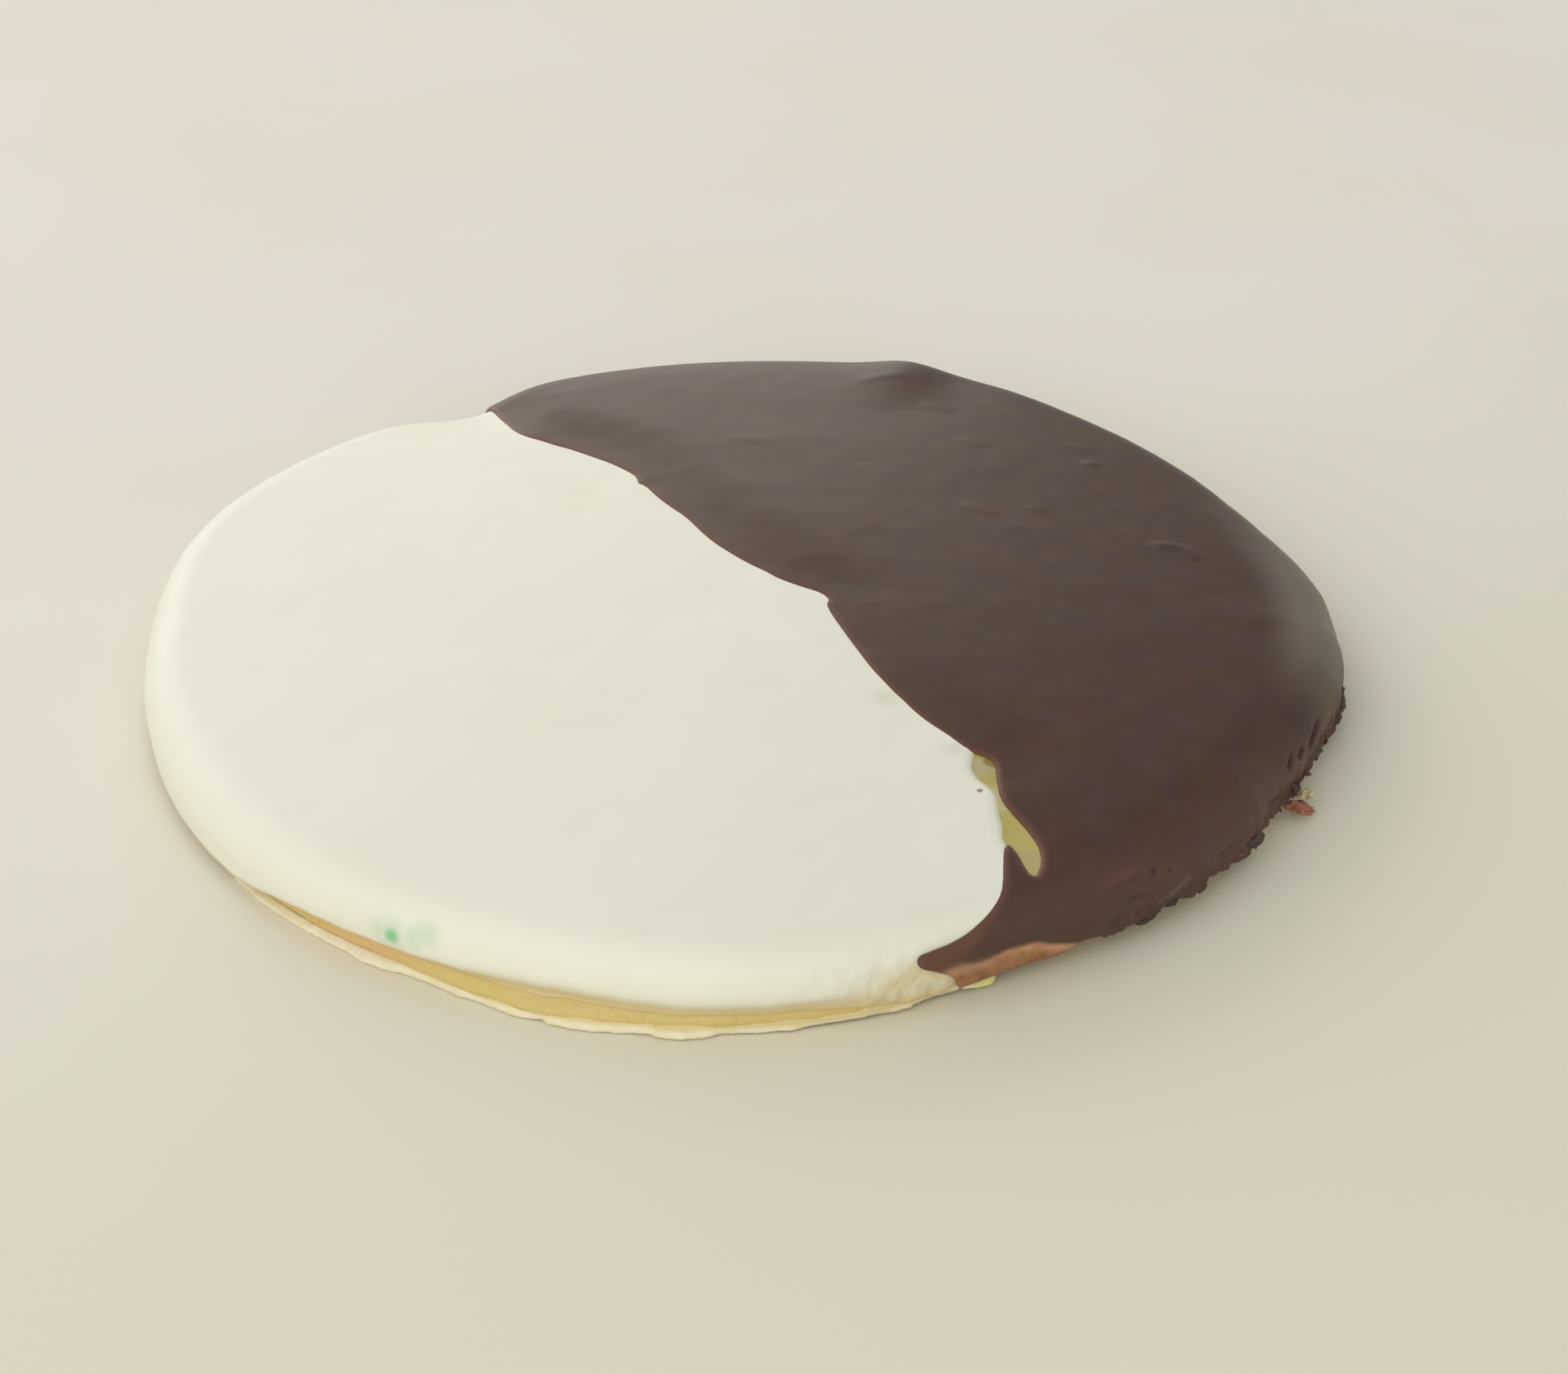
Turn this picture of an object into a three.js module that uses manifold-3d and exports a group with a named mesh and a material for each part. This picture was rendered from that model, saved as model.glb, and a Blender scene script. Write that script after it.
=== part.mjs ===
// A black and white cookie: a round, soft, low-domed cake, half under white icing and half under chocolate icing.
// The chocolate laps the whole side and ends in a crumbly hem. The white icing stops part way down the near side,
// so a golden band of crust shows there above a ragged foot of icing that ran down to the tray. Beside the white
// icing a narrow leaf of cake is left bare.
//
// Millimetres, +Z up. The origin is under the cookie's middle, on the surface it stands on. With the white icing on
// the left, +X points right and +Y to the far side. Angles are in degrees, anticlockwise from +X.
//
// Each icing starts as a flat sheet 1 mm thick, is trimmed to its outline there, and is then laid over the cake. On
// the flat sheet a point's distance from the middle is its reach: over the top as far as topRadius, then round the
// shoulder, down the side and under the toe. How far it lies past topRadius is its drop.
import * as THREE from "three";
import { mergeVertices } from "three/addons/utils/BufferGeometryUtils.js";
import Module from "manifold-3d";

const wasm = await Module();
wasm.setup();

// The cake.
const topRadius = 60.3; // where the top starts to round over
const edgeHeight = 8; // height of the cake there
const crown = 3; // how far the middle stands above that
const shoulderRadius = 3.6; // rounding of the upper edge
const toeRadius = 1.6; // rounding of the lower edge
const lean = 7; // degrees that the side leans in towards the toe
const restShare = 0.75; // the underside is flat over this share of its radius, so that the cookie doesn't rock
const undersideRise = 0.3; // from there it rises this far to the toe
const rimOffsets = [0, -0.9, -0.7, 2.1, 1.4, 0.8, 2, 3.3, 1.1, 0.5, 0.4, 0, 0.6, -2, -2.1, -1.4]; // evenly round
const flatSpot = { at: 123, spread: 7, depth: 2.4, sag: 0.9 }; // the far left of the rim is cut in and lower
const curl = { at: -48, spread: 34, rise: 1.5, width: 16 }; // the near right of the rim stands off the tray

// The icings.
const clearance = 0.3; // gap between neighbouring pieces, and under the icings
const whiteThickness = 1.5;
const chocolateThickness = 2.1;
const sideThinning = 0.35; // share of its thickness that an icing loses down the side
const lipWidth = 0.6; // the upper edge of a trimmed icing is rounded off this far in
const softness = 3; // beside the white the chocolate is as thin as the white, and thickens over this distance
const whiteDrop = 6.1; // where the white icing ends above the golden band
const fullDrop = 8.6; // where an icing ends that covers the whole side
const band = { from: -144, full: -132, waning: -80, to: -73 }; // the stretch where the golden band shows
const whiteFilm = { at: -72, spread: 7, thickness: 0.5 }; // beside the chocolate the white is only a film
const chocolateFilm = { at: -64, spread: 8, thickness: 0.5, drop: 5.4 }; // and so is the foot of the chocolate
const hemJag = 0.45; // raggedness of the chocolate's hem
const swellings = [
  { at: 118, spread: 4.5, height: 1.4 },
  { at: 73.5, spread: 6, height: 1.2 },
  { at: 33, spread: 4, height: 0.3 },
  { at: 12, spread: 5, height: 1 },
  { at: -2, spread: 3, height: 0.5 },
]; // bulges of the chocolate where it runs over the rim
const swellingWidth = 9;

// The line between the icings on the flat sheet, from the far rim to the near one. It ends round a blunt tongue of
// chocolate that lies on the shoulder.
const divide = [
  [-35, 61],
  [-32.9, 54],
  [-28.4, 44.4],
  [-19.3, 35.7],
  [-13.4, 29.6],
  [-12.4, 26.4],
  [-9.4, 21.5],
  [-4.2, 12.6],
  [2.3, 4.4],
  [8.2, 0],
  [9.1, -3.3],
  [12.1, -11.9],
  [17, -22.6],
  [24, -31.9],
  [25, -37],
  [27, -42.6],
  [26.8, -52],
  [24.9, -56.5],
  [20.7, -60],
  [17.2, -61.4],
  [17.6, -62.9],
  [21.6, -63.6],
  [23.7, -65.8],
];
const divideSteps = 96;
const beyondDivide = [40, -7]; // a place well inside the chocolate

// The bare leaf in the chocolate's edge. Its near end forks round a spike of chocolate.
const leaf = [
  [23.2, -31.6],
  [26.7, -33.8],
  [26.9, -38],
  [28.7, -43.5],
  [30.7, -49],
  [29.6, -53],
  [28.2, -50],
  [26.9, -48.6],
  [26, -46],
  [25.4, -40.5],
];
const leafSteps = 36;

// The white icing's foot along the golden band: its section outside the cake as [outward, height].
const footSection = [
  [0, 1.45],
  [0, 1],
  [0, 0.6],
  [0, clearance],
  [2.2, clearance],
  [2.35, 0.6],
  [1.8, 1.1],
  [0.8, 1.5],
];
const footSpan = { from: -149, grown: -121, to: -74.5 };
const footSteps = 62;
const footShares = { least: 0.15, mean: 0.72 }; // how much of the section's width there is
const footBulge = { at: -101, spread: 12, share: 0.45 };
const footJag = 0.13;

// Crumbs in the chocolate's hem.
const crumbZones = [
  { from: -54, to: -4, step: 2.4, smallest: 0.6, largest: 1.35 },
  { from: 4, to: 118, step: 9.5, smallest: 0.45, largest: 0.9 },
];
const crumbPlace = { drop: 7.1, scatter: 1.2, least: 1.45 };
const strayCrumb = { at: -24.5, out: 2.2, length: 1.7, width: 0.75, slant: -20 }; // a long one sticks out of the hem
const seed = 12;

// How finely the pieces are faceted.
const segments = 86;
const whiteHemSteps = 66;
const chocolateHemSteps = 78;
const topRows = [0, 14, 26, 36, 44, 51, 56.5, topRadius];
const sideRows = [1.1, 2.3, 3.5, 4.7, 5.75, 7, 8.33, 9.2]; // the icings end above the underside of the toe
const toeRow = 9.9;
const baseRows = [0, 0.1, 1 - restShare, 0.6, 1];

const { degToRad, radToDeg, lerp, smoothstep, seededRandom } = THREE.MathUtils;
const crownTilt = Math.atan((2 * crown) / topRadius);
const sideTilt = degToRad(90 + lean);
const shoulderLength = shoulderRadius * (sideTilt - crownTilt);
const shoulderHeight = edgeHeight - shoulderRadius * Math.cos(crownTilt);
const sideTop = shoulderHeight + shoulderRadius * Math.cos(sideTilt);
const sideFoot = toeRadius * (1 + Math.cos(sideTilt));
const sideLength = (sideTop - sideFoot) / Math.cos(degToRad(lean));
const toeLength = toeRadius * (Math.PI - sideTilt);
const skirtLength = shoulderLength + sideLength + toeLength;

// Signed turn from one angle to another, from -180 to 180.
function turn(from, to) {
  return ((((to - from + 180) % 360) + 360) % 360) - 180;
}

// A soft hump round the rim: 1 at its middle and near 0 beyond twice its spread.
function hump(angle, { at, spread }) {
  return Math.exp(-((turn(at, angle) / spread) ** 2));
}

// An uneven wave round the rim, mostly between -1 and 1.
function ripple(angle, waves) {
  const sum = waves.reduce((total, wave, i) => total + Math.sin(degToRad(angle * wave + 70 * i)), 0);
  return sum / Math.sqrt(waves.length);
}

// How far the rim stands out from a circle, on a smooth line through the offsets.
function rimOffset(angle) {
  const count = rimOffsets.length;
  const place = ((turn(0, angle) + 360) * count) / 360;
  const first = Math.floor(place);
  const t = place - first;
  const [a, b, c, d] = [-1, 0, 1, 2].map((i) => rimOffsets[(first + i + count) % count]);
  const line = b + (t * (c - a + t * (2 * a - 5 * b + 4 * c - d + t * (3 * (b - c) + d - a)))) / 2;
  return line - flatSpot.depth * hump(angle, flatSpot);
}

// The cake's section: distance from the middle, height and tilt of its skin at a reach.
function section(angle, reach) {
  const top = topRadius + rimOffset(angle);
  if (reach <= topRadius) {
    const share = reach / topRadius;
    return { radius: share * top, height: edgeHeight + crown * (1 - share * share), tilt: crownTilt * share };
  }
  const drop = reach - topRadius;
  const shoulderCentre = top - shoulderRadius * Math.sin(crownTilt);
  if (drop <= shoulderLength) {
    const tilt = crownTilt + drop / shoulderRadius;
    const radius = shoulderCentre + shoulderRadius * Math.sin(tilt);
    return { radius, height: shoulderHeight + shoulderRadius * Math.cos(tilt), tilt };
  }
  const down = Math.min(drop - shoulderLength, sideLength);
  const sideRadius = shoulderCentre + shoulderRadius * Math.sin(sideTilt) - down * Math.sin(degToRad(lean));
  if (drop <= shoulderLength + sideLength) {
    return { radius: sideRadius, height: sideTop - down * Math.cos(degToRad(lean)), tilt: sideTilt };
  }
  const toeCentre = sideRadius - toeRadius * Math.sin(sideTilt);
  if (drop <= skirtLength) {
    const tilt = sideTilt + (drop - shoulderLength - sideLength) / toeRadius;
    const height = toeRadius * (1 + Math.cos(tilt)) + undersideRise * smoothstep(tilt, sideTilt, Math.PI);
    return { radius: toeCentre + toeRadius * Math.sin(tilt), height, tilt };
  }
  const share = 1 - (drop - skirtLength) / topRadius;
  return { radius: toeCentre * share, height: undersideRise * smoothstep(share, restShare, 1), tilt: Math.PI };
}

// The drop at which the cake's side or toe is at a height.
function dropAt(height) {
  if (height > sideFoot) return shoulderLength + (sideTop - height) / Math.cos(degToRad(lean));
  return shoulderLength + sideLength + toeRadius * (Math.acos(height / toeRadius - 1) - sideTilt);
}

// How far the rim is shifted up where it stands off the tray, and down at the flat spot.
function rimShift(angle, radius, height) {
  const rim = topRadius + shoulderRadius + rimOffset(angle);
  const outward = smoothstep(radius, rim - curl.width, rim);
  const upward = height / edgeHeight;
  const rise = curl.rise * hump(angle, curl) * outward * Math.max(0, 1 - upward);
  return rise - flatSpot.sag * hump(angle, flatSpot) * outward * Math.min(1, upward);
}

function roundMiddle(angle, radius, z) {
  return new THREE.Vector3(radius * Math.cos(degToRad(angle)), radius * Math.sin(degToRad(angle)), z);
}

// Lays a point of the flat sheet on the cake, lifted off its skin.
function lay(x, y, lift, lowest = 0) {
  const angle = radToDeg(Math.atan2(y, x));
  const { radius, height, tilt } = section(angle, Math.hypot(x, y));
  const z = height + lift * Math.cos(tilt) + rimShift(angle, radius, height);
  return roundMiddle(angle, radius + lift * Math.sin(tilt), Math.max(lowest, z));
}

function onSheet(angle, drop) {
  const { x, y } = roundMiddle(angle, topRadius + drop, 0);
  return new THREE.Vector2(x, y);
}

function mapPoints(geometry, place) {
  const position = geometry.getAttribute("position");
  for (let i = 0; i < position.count; i++) {
    const { x, y, z } = place(position.getX(i), position.getY(i), position.getZ(i));
    position.setXYZ(i, x, y, z);
  }
  return geometry;
}

// Closes a geometry into a solid: shared corners are merged and faces without area dropped.
function toSolid(geometry) {
  const bare = new THREE.BufferGeometry().setAttribute("position", geometry.getAttribute("position"));
  bare.setIndex(geometry.index);
  const merged = mergeVertices(bare, 1e-4);
  const corners = Array.from(merged.index.array);
  const faces = [];
  for (let i = 0; i < corners.length; i += 3) {
    const face = corners.slice(i, i + 3);
    if (new Set(face).size === 3) faces.push(...face);
  }
  const vertProperties = merged.getAttribute("position").array;
  return new wasm.Manifold(new wasm.Mesh({ numProp: 3, vertProperties, triVerts: new Uint32Array(faces) }));
}

function toGeometry(solid) {
  const { vertProperties, triVerts } = solid.getMesh();
  const geometry = new THREE.BufferGeometry();
  geometry.setAttribute("position", new THREE.BufferAttribute(vertProperties, 3));
  geometry.setIndex(new THREE.BufferAttribute(triVerts, 1));
  geometry.computeVertexNormals();
  return geometry;
}

// A round body from a profile of [reach, height] that starts and ends at the middle.
function turned(profile) {
  const points = profile.map(([reach, height]) => new THREE.Vector2(reach, height));
  return new THREE.LatheGeometry(points, segments).rotateX(Math.PI / 2);
}

// A flat sheet of icing, large enough to reach the toe.
function sheet() {
  const reaches = [...topRows, ...sideRows.map((drop) => topRadius + drop)];
  const under = reaches.map((reach) => [reach, 0]);
  const over = reaches.map((reach) => [reach, 1]);
  return toSolid(turned([...under, ...over.reverse()]));
}

// An upright cutter on an outline in the flat sheet. It is wider than the outline by grow, and its top is rounded
// off where a lip is asked for.
function cutter(outline, { grow = 0, lip = 0 }) {
  const overTop = 0.05;
  const below = 1;
  const rounded = 0.75;
  const geometry = new THREE.ExtrudeGeometry(new THREE.Shape(outline), {
    depth: below + 1 + overTop - rounded,
    steps: 1,
    bevelThickness: rounded,
    bevelSize: lip,
    bevelOffset: grow - lip,
    bevelSegments: lip ? 2 : 1,
  });
  return toSolid(geometry.translate(0, 0, -below));
}

function vectors(points) {
  return points.map(([x, y]) => new THREE.Vector2(x, y));
}

const divideLine = new THREE.SplineCurve(vectors(divide)).getSpacedPoints(divideSteps);

function leafOutline() {
  const corners = leaf.map(([x, y]) => new THREE.Vector3(x, y, 0));
  const line = new THREE.CatmullRomCurve3(corners, true).getSpacedPoints(leafSteps);
  return line.slice(1).map(({ x, y }) => new THREE.Vector2(x, y));
}

// 0 where the golden band shows, 1 where the white icing covers the whole side.
function cover(angle) {
  const place = turn(0, angle);
  return Math.max(1 - smoothstep(place, band.from, band.full), smoothstep(place, band.waning, band.to));
}

// Points along a hem from one angle to a larger one, at the drop that a rule gives.
function hem(from, to, steps, dropRule) {
  return Array.from({ length: steps + 1 }, (_, i) => {
    const angle = lerp(from, to, i / steps);
    return onSheet(angle, dropRule(angle));
  });
}

function angleOf([x, y]) {
  return radToDeg(Math.atan2(y, x));
}

const farEnd = angleOf(divide[0]);
const nearEnd = angleOf(divide[divide.length - 1]);

function chocolateOutline() {
  const rule = (angle) => fullDrop + hemJag * ripple(angle, [17, 41, 67]);
  return [...divideLine, ...hem(nearEnd, farEnd, chocolateHemSteps, rule).slice(1, -1)];
}

function whiteOutline() {
  const rule = (angle) => lerp(whiteDrop, fullDrop, cover(angle));
  return [...hem(farEnd - 2, nearEnd + 362, whiteHemSteps, rule), new THREE.Vector2(...beyondDivide)];
}

// How much of its thickness an icing keeps down the side.
function sideShare(drop) {
  return 1 - sideThinning * smoothstep(drop, 0, shoulderLength);
}

function whiteThicknessAt(x, y) {
  const angle = angleOf([x, y]);
  const drop = Math.hypot(x, y) - topRadius;
  const thin = hump(angle, whiteFilm) * smoothstep(drop, 1, shoulderLength);
  return lerp(whiteThickness * sideShare(drop), whiteFilm.thickness, thin);
}

function chocolateThicknessAt(x, y) {
  const angle = angleOf([x, y]);
  const drop = Math.hypot(x, y) - topRadius;
  const fromDivide = Math.min(...divideLine.map((point) => Math.hypot(x - point.x, y - point.y)));
  const full = lerp(whiteThickness, chocolateThickness, smoothstep(fromDivide, 0, softness));
  const swelling = swellings.reduce((sum, bulge) => sum + bulge.height * hump(angle, bulge), 0);
  const onRim = smoothstep(drop, -swellingWidth, 0) * (1 - smoothstep(drop, shoulderRadius, fullDrop));
  const thin = hump(angle, chocolateFilm) * smoothstep(drop, chocolateFilm.drop - 1, chocolateFilm.drop);
  return lerp(full * sideShare(drop) + swelling * onRim, chocolateFilm.thickness, thin);
}

// Lays a trimmed sheet on the cake at the thickness that a rule gives.
function laid(trimmed, thicknessRule) {
  const place = (x, y, z) => lay(x, y, clearance + z * thicknessRule(x, y), clearance);
  return toSolid(mapPoints(toGeometry(trimmed), place));
}

// The share of its section's width that the foot has at an angle.
function footShare(angle) {
  const share = footShares.mean + footBulge.share * hump(angle, footBulge) + footJag * ripple(angle, [23, 61, 97]);
  return lerp(footShares.least, share, smoothstep(angle, footSpan.from, footSpan.grown));
}

function foot() {
  const span = footSpan.to - footSpan.from;
  const shape = new THREE.Shape(vectors(footSection));
  const ring = new THREE.ExtrudeGeometry(shape, { depth: span, steps: footSteps, bevelEnabled: false });
  const place = (outward, height, along) => {
    const angle = footSpan.to - along;
    const side = section(angle, topRadius + dropAt(height));
    const radius = side.radius + clearance + outward * footShare(angle);
    return roundMiddle(angle, radius, height + rimShift(angle, side.radius, height));
  };
  return toSolid(mapPoints(ring, place));
}

// A rough crumb that points outwards, kept clear of the tray.
function crumb(centre, length, width, angle, spin) {
  const lump = new THREE.IcosahedronGeometry(1, 0).rotateX(spin).scale(length, width, width);
  const z = Math.max(centre.z, clearance + width);
  return toSolid(lump.rotateZ(degToRad(angle)).translate(centre.x, centre.y, z));
}

function crumbs() {
  const solids = [];
  const { drop, scatter, least } = crumbPlace;
  seededRandom(seed);
  for (const { from, to, step, smallest, largest } of crumbZones) {
    for (let angle = from; angle < to; angle += step) {
      const at = onSheet(angle + 0.6 * step * seededRandom(), drop + scatter * seededRandom());
      const size = lerp(smallest, largest, seededRandom() ** 2);
      const length = size * 1.1;
      const out = Math.max(least, clearance + length + 0.1);
      solids.push(crumb(lay(at.x, at.y, out), length, size, angle, seededRandom() * Math.PI));
    }
  }
  const stray = onSheet(strayCrumb.at, drop);
  const { length, width } = strayCrumb;
  solids.push(crumb(lay(stray.x, stray.y, strayCrumb.out), length, width, strayCrumb.at + strayCrumb.slant, 0));
  return solids;
}

function cakeGeometry() {
  const side = [...sideRows, toeRow].map((drop) => topRadius + drop);
  const base = baseRows.map((share) => topRadius + skirtLength + share * topRadius);
  const profile = [...topRows, ...side, ...base].map((reach) => [reach, 0]);
  return toGeometry(toSolid(mapPoints(turned(profile.reverse()), (x, y) => lay(x, y, 0))));
}

function chocolateGeometry() {
  const trimmed = sheet()
    .intersect(cutter(chocolateOutline(), { lip: lipWidth }))
    .subtract(cutter(leafOutline(), {}));
  const coat = laid(trimmed, chocolateThicknessAt);
  return toGeometry(crumbs().reduce((whole, lump) => whole.add(lump), coat));
}

function whiteGeometry() {
  const trimmed = sheet()
    .intersect(cutter(whiteOutline(), { lip: lipWidth }))
    .subtract(cutter(chocolateOutline(), { grow: clearance }));
  return toGeometry(laid(trimmed, whiteThicknessAt).add(foot()));
}

function piece(name, geometry, color, roughness) {
  const material = new THREE.MeshStandardMaterial({ color, roughness, metalness: 0 });
  const mesh = new THREE.Mesh(geometry, material);
  mesh.name = name;
  return mesh;
}

const cookie = new THREE.Group();
cookie.add(
  piece("cake", cakeGeometry(), 0xd2a95c, 0.85),
  piece("white_icing", whiteGeometry(), 0xefe9d8, 0.45),
  piece("chocolate_icing", chocolateGeometry(), 0x4a322a, 0.4),
);

export default cookie;
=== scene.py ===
"""The looks of a black and white cookie, dressed over its solids: a golden crust, white icing with its torn
foot, chocolate icing with a crumbly hem, the crumbs stuck there, and a leaf of pale glaze between the icings.

The icings are drawn on a flat sheet, in millimetres, and laid over the cake. There, a point's distance from
the middle is its reach, and its drop is how far it lies past the top, down the shoulder, side and toe. Angles
are in degrees, anticlockwise from +X, which points right; +Y points to the far side. Blender's own objects
are in metres.
"""

import math

import bmesh
import bpy
import numpy as np
from bpy.props import FloatProperty, FloatVectorProperty, IntProperty, PointerProperty
from mathutils import Matrix, Vector, kdtree, noise
from mathutils.geometry import delaunay_2d_cdt


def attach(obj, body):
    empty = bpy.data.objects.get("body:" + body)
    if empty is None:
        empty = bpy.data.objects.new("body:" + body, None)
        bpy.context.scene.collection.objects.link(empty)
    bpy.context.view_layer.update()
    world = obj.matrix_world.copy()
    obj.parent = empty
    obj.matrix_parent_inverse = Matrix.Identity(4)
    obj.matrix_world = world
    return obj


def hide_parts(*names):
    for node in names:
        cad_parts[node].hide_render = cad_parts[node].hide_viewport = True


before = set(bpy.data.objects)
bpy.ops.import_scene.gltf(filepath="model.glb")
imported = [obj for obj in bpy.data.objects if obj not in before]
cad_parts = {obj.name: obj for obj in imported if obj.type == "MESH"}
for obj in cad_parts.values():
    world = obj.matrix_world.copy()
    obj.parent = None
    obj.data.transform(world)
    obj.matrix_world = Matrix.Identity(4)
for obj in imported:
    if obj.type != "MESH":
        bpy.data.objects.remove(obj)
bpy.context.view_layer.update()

bl_info = {
    "name": "Black and white cookie",
    "version": (1, 0, 0),
    "blender": (4, 5, 0),
    "location": "3D View > Sidebar > Cookie",
    "description": "Makes the crust, icings, crumbs and glaze of a half white, half chocolate iced cookie",
    "category": "Add Mesh",
}

BODY = "root"
MM = 0.001

# The cake's skin, in millimetres and degrees.
TOP_RADIUS = 60.3
EDGE_HEIGHT = 8
CROWN = 3
SHOULDER_RADIUS = 3.6
TOE_RADIUS = 1.6
LEAN = math.radians(7)
REST_SHARE = 0.75  # the underside is flat over this share of its radius
UNDERSIDE_RISE = 0.3  # from there it rises this far to the toe
RIM_OFFSETS = (0, -0.9, -0.7, 2.1, 1.4, 0.8, 2, 3.3, 1.1, 0.5, 0.4, 0, 0.6, -2, -2.1, -1.4)
FLAT_SPOT = {"at": 123, "spread": 7, "depth": 2.4, "sag": 0.9}
CURL = {"at": -48, "spread": 34, "rise": 1.5, "width": 16}

# How far the cake's foot spreads under the golden band, as (angle, outward), and at which heights.
FLARE = [(-124, 0), (-118, 0.75), (-113, 1.5), (-107.5, 2.15), (-102, 1.6), (-96, 1.1), (-88, 0.75),
         (-79, 0.95), (-74, 0.5), (-70, 0)]
FLARE_HEIGHTS = (3.4, 1.3)

CROWN_TILT = math.atan(2 * CROWN / TOP_RADIUS)
SIDE_TILT = math.pi / 2 + LEAN
SHOULDER_LENGTH = SHOULDER_RADIUS * (SIDE_TILT - CROWN_TILT)
SIDE_TOP = EDGE_HEIGHT + SHOULDER_RADIUS * (math.cos(SIDE_TILT) - math.cos(CROWN_TILT))
SIDE_FOOT = TOE_RADIUS * (1 + math.cos(SIDE_TILT))
SIDE_LENGTH = (SIDE_TOP - SIDE_FOOT) / math.cos(LEAN)
TOE_LENGTH = TOE_RADIUS * (math.pi - SIDE_TILT)
SKIRT = SHOULDER_LENGTH + SIDE_LENGTH + TOE_LENGTH

# The line between the icings on the flat sheet, from the far rim to the bare leaf.
FAR_DIVIDE = [(-35.4, 59.5), (-34.2, 56.8), (-32.5, 54.4), (-28.4, 44.3), (-24.4, 40), (-19.3, 35.6),
              (-15.2, 31.6), (-13.1, 28.8), (-12.6, 26.6), (-11.9, 25.8), (-9.4, 21.5), (-6.5, 16.8),
              (-4.2, 12.3), (-1.1, 8), (2.3, 4.1), (5.8, 1.4), (7.9, -0.1), (8.9, -1.5), (8.9, -3.1),
              (10.3, -7.1), (12.1, -11.9), (14.5, -17.8), (17, -22.6), (19.4, -26.4), (21.9, -29.5)]
# The chocolate's edge round the leaf: down its right side, round its near end and up to the spike's tip.
LEAF_EDGE = [(23.6, -31.5), (25, -32.3), (26.1, -33.1), (26.5, -34.5), (26.6, -37.2), (26.8, -39.5),
             (27.4, -41.5), (28.4, -43.5), (29.3, -45.3), (30.2, -47.5), (30.5, -49.5), (30.3, -51.5),
             (29.6, -52.7), (28.9, -51.8), (28.2, -49.6), (27.6, -48.2), (27.3, -47.9)]
# On from the spike's tip: down its left side, along the tongue, round its blunt end and down the side.
NEAR_DIVIDE = [(27, -48.2), (26.7, -49.2), (26.5, -51.8), (26.2, -54.6), (24.9, -56.8), (22.7, -58.9),
               (20.7, -60.2), (18.7, -61.1), (17.5, -61.6), (17.3, -62.2), (18, -62.7), (19.6, -62.9),
               (21.6, -63.5), (22.8, -64.4), (23.7, -65.4)]
# The white icing's own edge, hidden under the chocolate and, along the leaf, under the glaze.
WHITE_EDGE = [(26.4, -63), (27.7, -58.5), (28.1, -54.5), (28.3, -51.5), (28.3, -47.2), (28.3, -44.8),
              (28.1, -43), (28, -41), (27.8, -38.8), (26.9, -37), (26, -35.8), (25.6, -34.5), (25.3, -33.1),
              (24.9, -30.6), (22.6, -27.6), (18.9, -22), (14, -11.4), (11.4, -4), (10.8, -0.8), (8.9, 1.7),
              (3.6, 5.8), (-2.7, 13.8), (-7.8, 22.5), (-10.6, 27.4), (-11.8, 30.8), (-18, 37.4),
              (-26.9, 45.8), (-31, 54.6), (-32, 60.4)]
LEAF_STRETCH = (24, 29, -49.6, -31.6)  # where that edge runs along the leaf: x from, to, y from, to
# Where the white icing ends down the side, as (angle, drop).
WHITE_HEM = [(-213, 8.7), (-150, 8.7), (-144, 8.6), (-140, 8.2), (-136, 7.4), (-130, 7), (-122, 6.9),
             (-112, 7.2), (-104, 7.2), (-96, 7.5), (-84, 7.6), (-80, 8.1), (-76, 8.8), (-72, 9.2),
             (-66, 8.6)]
# Where the chocolate icing ends down the side, as (angle, drop), and how far that line wavers.
CHOCOLATE_HEM = [(-72, 9.3), (-69, 9.6), (-64, 9.5), (-60, 9), (-57, 8.5), (-52, 8.8), (-49, 9.2),
                 (-47, 8.7), (-43, 8.9), (-40, 8.4), (-37, 8.7), (-34, 9), (-31, 8.2), (-27, 8.4),
                 (-22, 8.7), (-17, 8.1), (-12, 8.5), (-8, 9), (-4, 8.4), (10, 8.6)]
HEM_JAG = 0.25
LOWEST_HEM = 9.7

WHITE_BOX = (-70, 30, -70, 66)  # what each icing lies within on the flat sheet: x from, to, y from, to
CHOCOLATE_BOX = (-38, 70, -70, 70)


# ---------------------------------------------------------------- the cake's skin

def hump(angle, place):
    """A soft hump round the rim: 1 at its middle and near 0 beyond twice its spread."""
    turn = (angle - place["at"] + 180) % 360 - 180
    return np.exp(-(turn / place["spread"]) ** 2)


def smooth(value, low, high):
    """0 below low and 1 above high, with a smooth step between."""
    share = np.clip((value - low) / (high - low), 0, 1)
    return share * share * (3 - 2 * share)


def stretch(value, start, full, end, gone):
    """0 up to start, 1 from full to end and 0 from gone on, with smooth steps between."""
    return smooth(value, start, full) * smooth(value, gone, end)


def ripple(angle, waves):
    """An uneven wave round the rim, mostly between -1 and 1."""
    total = sum(np.sin(np.radians(angle * wave + 70 * i)) for i, wave in enumerate(waves))
    return total / math.sqrt(len(waves))


def curve(a, b, c, d, t):
    """What lies a share t of the way from b to c, on a smooth line through four values."""
    return b + t * (c - a + t * (2 * a - 5 * b + 4 * c - d + t * (3 * (b - c) + d - a))) / 2


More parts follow.
